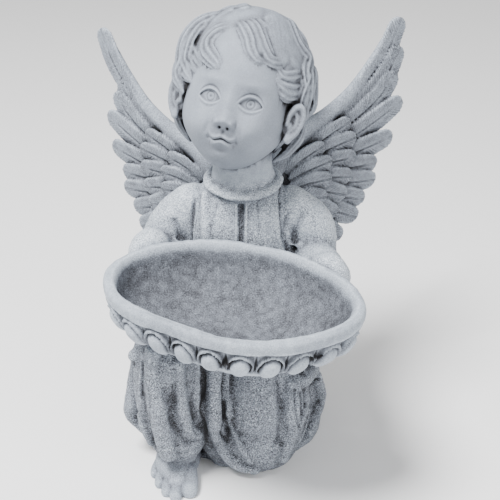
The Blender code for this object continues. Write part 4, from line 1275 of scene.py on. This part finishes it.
def cast_stone():
    """Pale resin stone: dark wash in the hollows, painted shade in sheltered places, rubbed pale edges, and
    sandy black and white specks.
    """
    n = Nodes("cast_stone")
    shut, proud, grain = n.value_of("shut"), n.value_of("proud"), n.value_of("grain")
    sand = n.noise(0.8, 2.0, 0.7)
    mottle = n.noise(9.0, 4.0, 0.6)
    broad = n.noise(45.0, 2.0)
    patchy = n.span(n.noise(16.0, 3.0, 0.6), 0.35, 0.65)
    specks = n.times(n.minus(sand, 0.5), n.times(grain, 1.65))
    specks = n.times(specks, n.math("MULTIPLY_ADD", patchy, 0.3, 0.85))
    # The dark patina wash in the hollows, plus painted shade in sheltered places.
    wash_and_painted_shade = n.plus(n.span(shut, 0.12, 0.95, 0.0, 0.5), n.span(n.value_of("shelter"), 0.0, 0.9, 0.0, 0.34))
    rub = n.times(n.span(proud, 0.0, 1.6), 0.15)
    grime = n.times(n.span(proud, 0.2, -1.5), 0.3)
    tone = n.plus(BASE_TONE, n.value_of("tone"))
    tone = n.minus(n.plus(tone, rub), n.plus(wash_and_painted_shade, grime))
    tone = n.plus(tone, n.times(n.minus(mottle, 0.5), 0.1))
    tone = n.plus(tone, n.times(n.minus(broad, 0.5), 0.16))
    tone = n.minus(tone, n.times(grain, 0.06))
    shaft, barb = feather_lines(n)
    lines = n.math("MAXIMUM", shaft, n.times(barb, 0.7))
    tone = n.minus(tone, n.times(lines, 0.3))
    tone = n.plus(tone, specks, clamp=True)
    n.feed(n.shader.inputs["Base Color"], n.ramp(tone, STONE_TONES))
    n.shader.inputs["Roughness"].default_value = 0.82
    n.shader.inputs["Specular IOR Level"].default_value = 0.3
    relief = n.bump(n.noise(2.6, 3.0, 0.55), 0.35, 0.25)
    relief = n.bump(sand, 0.55, n.math("MULTIPLY_ADD", grain, 0.7, 0.05), relief)
    relief = n.bump(n.minus(1.0, lines), 0.4, 0.8, relief)
    n.feed(n.shader.inputs["Normal"], relief)
    return n.material


def feather_lines(n):
    """Dark lines on the feathers: along the shaft, and slanted barbs beside it."""
    along, across = n.value_of("barb_along"), n.value_of("barb_across")
    beside = n.math("ABSOLUTE", across)
    on_feather = n.value_of("feathered")
    shaft = n.span(n.math("ABSOLUTE", n.minus(beside, 0.55)), 0.45, 0.15)
    phase = n.minus(along, n.times(beside, 0.9))
    phase = n.plus(phase, n.times(n.noise(5.0), 1.5))
    wave = n.math("SINE", n.times(phase, 2 * math.pi / 2.2))
    barb = n.times(n.span(wave, 0.35, 0.95), n.span(beside, 0.9, 1.6))
    barb = n.times(barb, n.span(n.noise(7.0, 2.0), 0.4, 0.6))
    return n.times(shaft, on_feather), n.times(barb, on_feather)


# The setting: camera, floor and soft studio light.

VIEW_AZIMUTH = math.radians(4.0)
VIEW_ELEVATION = math.radians(27.0)
AIM = Vector((-0.004, -0.020, 0.140))
AIM_RIGHT = 0.0117
AIM_UP = 0.0075
DISTANCE = 0.700
SENSOR = 36.0
PICTURE = 500
FOCAL_PIXELS = 1101.45
FLOOR_REACH = 6.0
LIT_MIDDLE = (0, 0, 0.15)


def add_camera():
    a, e = VIEW_AZIMUTH, VIEW_ELEVATION
    back = Vector((math.sin(a) * math.cos(e), -math.cos(a) * math.cos(e), math.sin(e)))
    right = Vector((math.cos(a), math.sin(a), 0))
    up = right.cross(-back)
    data = bpy.data.cameras.new("camera")
    data.sensor_width = SENSOR
    data.lens = SENSOR * FOCAL_PIXELS / PICTURE
    camera = placed("camera", data)
    camera.location = AIM + right * AIM_RIGHT + up * AIM_UP + back * DISTANCE
    camera.rotation_euler = (-back).to_track_quat("-Z", "Y").to_euler()
    bpy.context.scene.camera = camera


def add_floor():
    mesh = bpy.data.meshes.new("floor")
    corners = [(x * FLOOR_REACH, y * FLOOR_REACH, 0) for x, y in ((-1, -1), (1, -1), (1, 1), (-1, 1))]
    mesh.from_pydata(corners, [], [(0, 1, 2, 3)])
    material = bpy.data.materials.new("floor")
    material.use_nodes = True
    shader = material.node_tree.nodes["Principled BSDF"]
    shader.inputs["Base Color"].default_value = (0.95, 0.95, 0.95, 1)
    shader.inputs["Roughness"].default_value = 0.9
    mesh.materials.append(material)
    placed("floor", mesh)


def add_light(name, place, size, power):
    data = bpy.data.lights.new(name, "AREA")
    data.shape = "DISK"
    data.size = size
    data.energy = power
    light = placed(name, data)
    light.location = place
    light.rotation_euler = (Vector(LIT_MIDDLE) - Vector(place)).to_track_quat("-Z", "Y").to_euler()


def add_setting():
    add_camera()
    add_floor()
    world = bpy.data.worlds.new("world")
    world.use_nodes = True
    sky = world.node_tree.nodes["Background"]
    sky.inputs["Color"].default_value = (1, 1, 1, 1)
    sky.inputs["Strength"].default_value = 0.6
    bpy.context.scene.world = world
    add_light("key", (-0.42, -0.5, 1.35), 0.5, 52)
    add_light("fill", (0.9, -0.8, 0.6), 0.9, 8)


figurine, mass_places, feather_notes = build_figure()
figurine.name = "figurine"
weather(figurine, mass_places, feather_notes)
figurine.data.materials.clear()
figurine.data.materials.append(cast_stone())
figurine.data.shade_smooth()
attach(figurine, "root")
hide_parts(NODE)
add_setting()
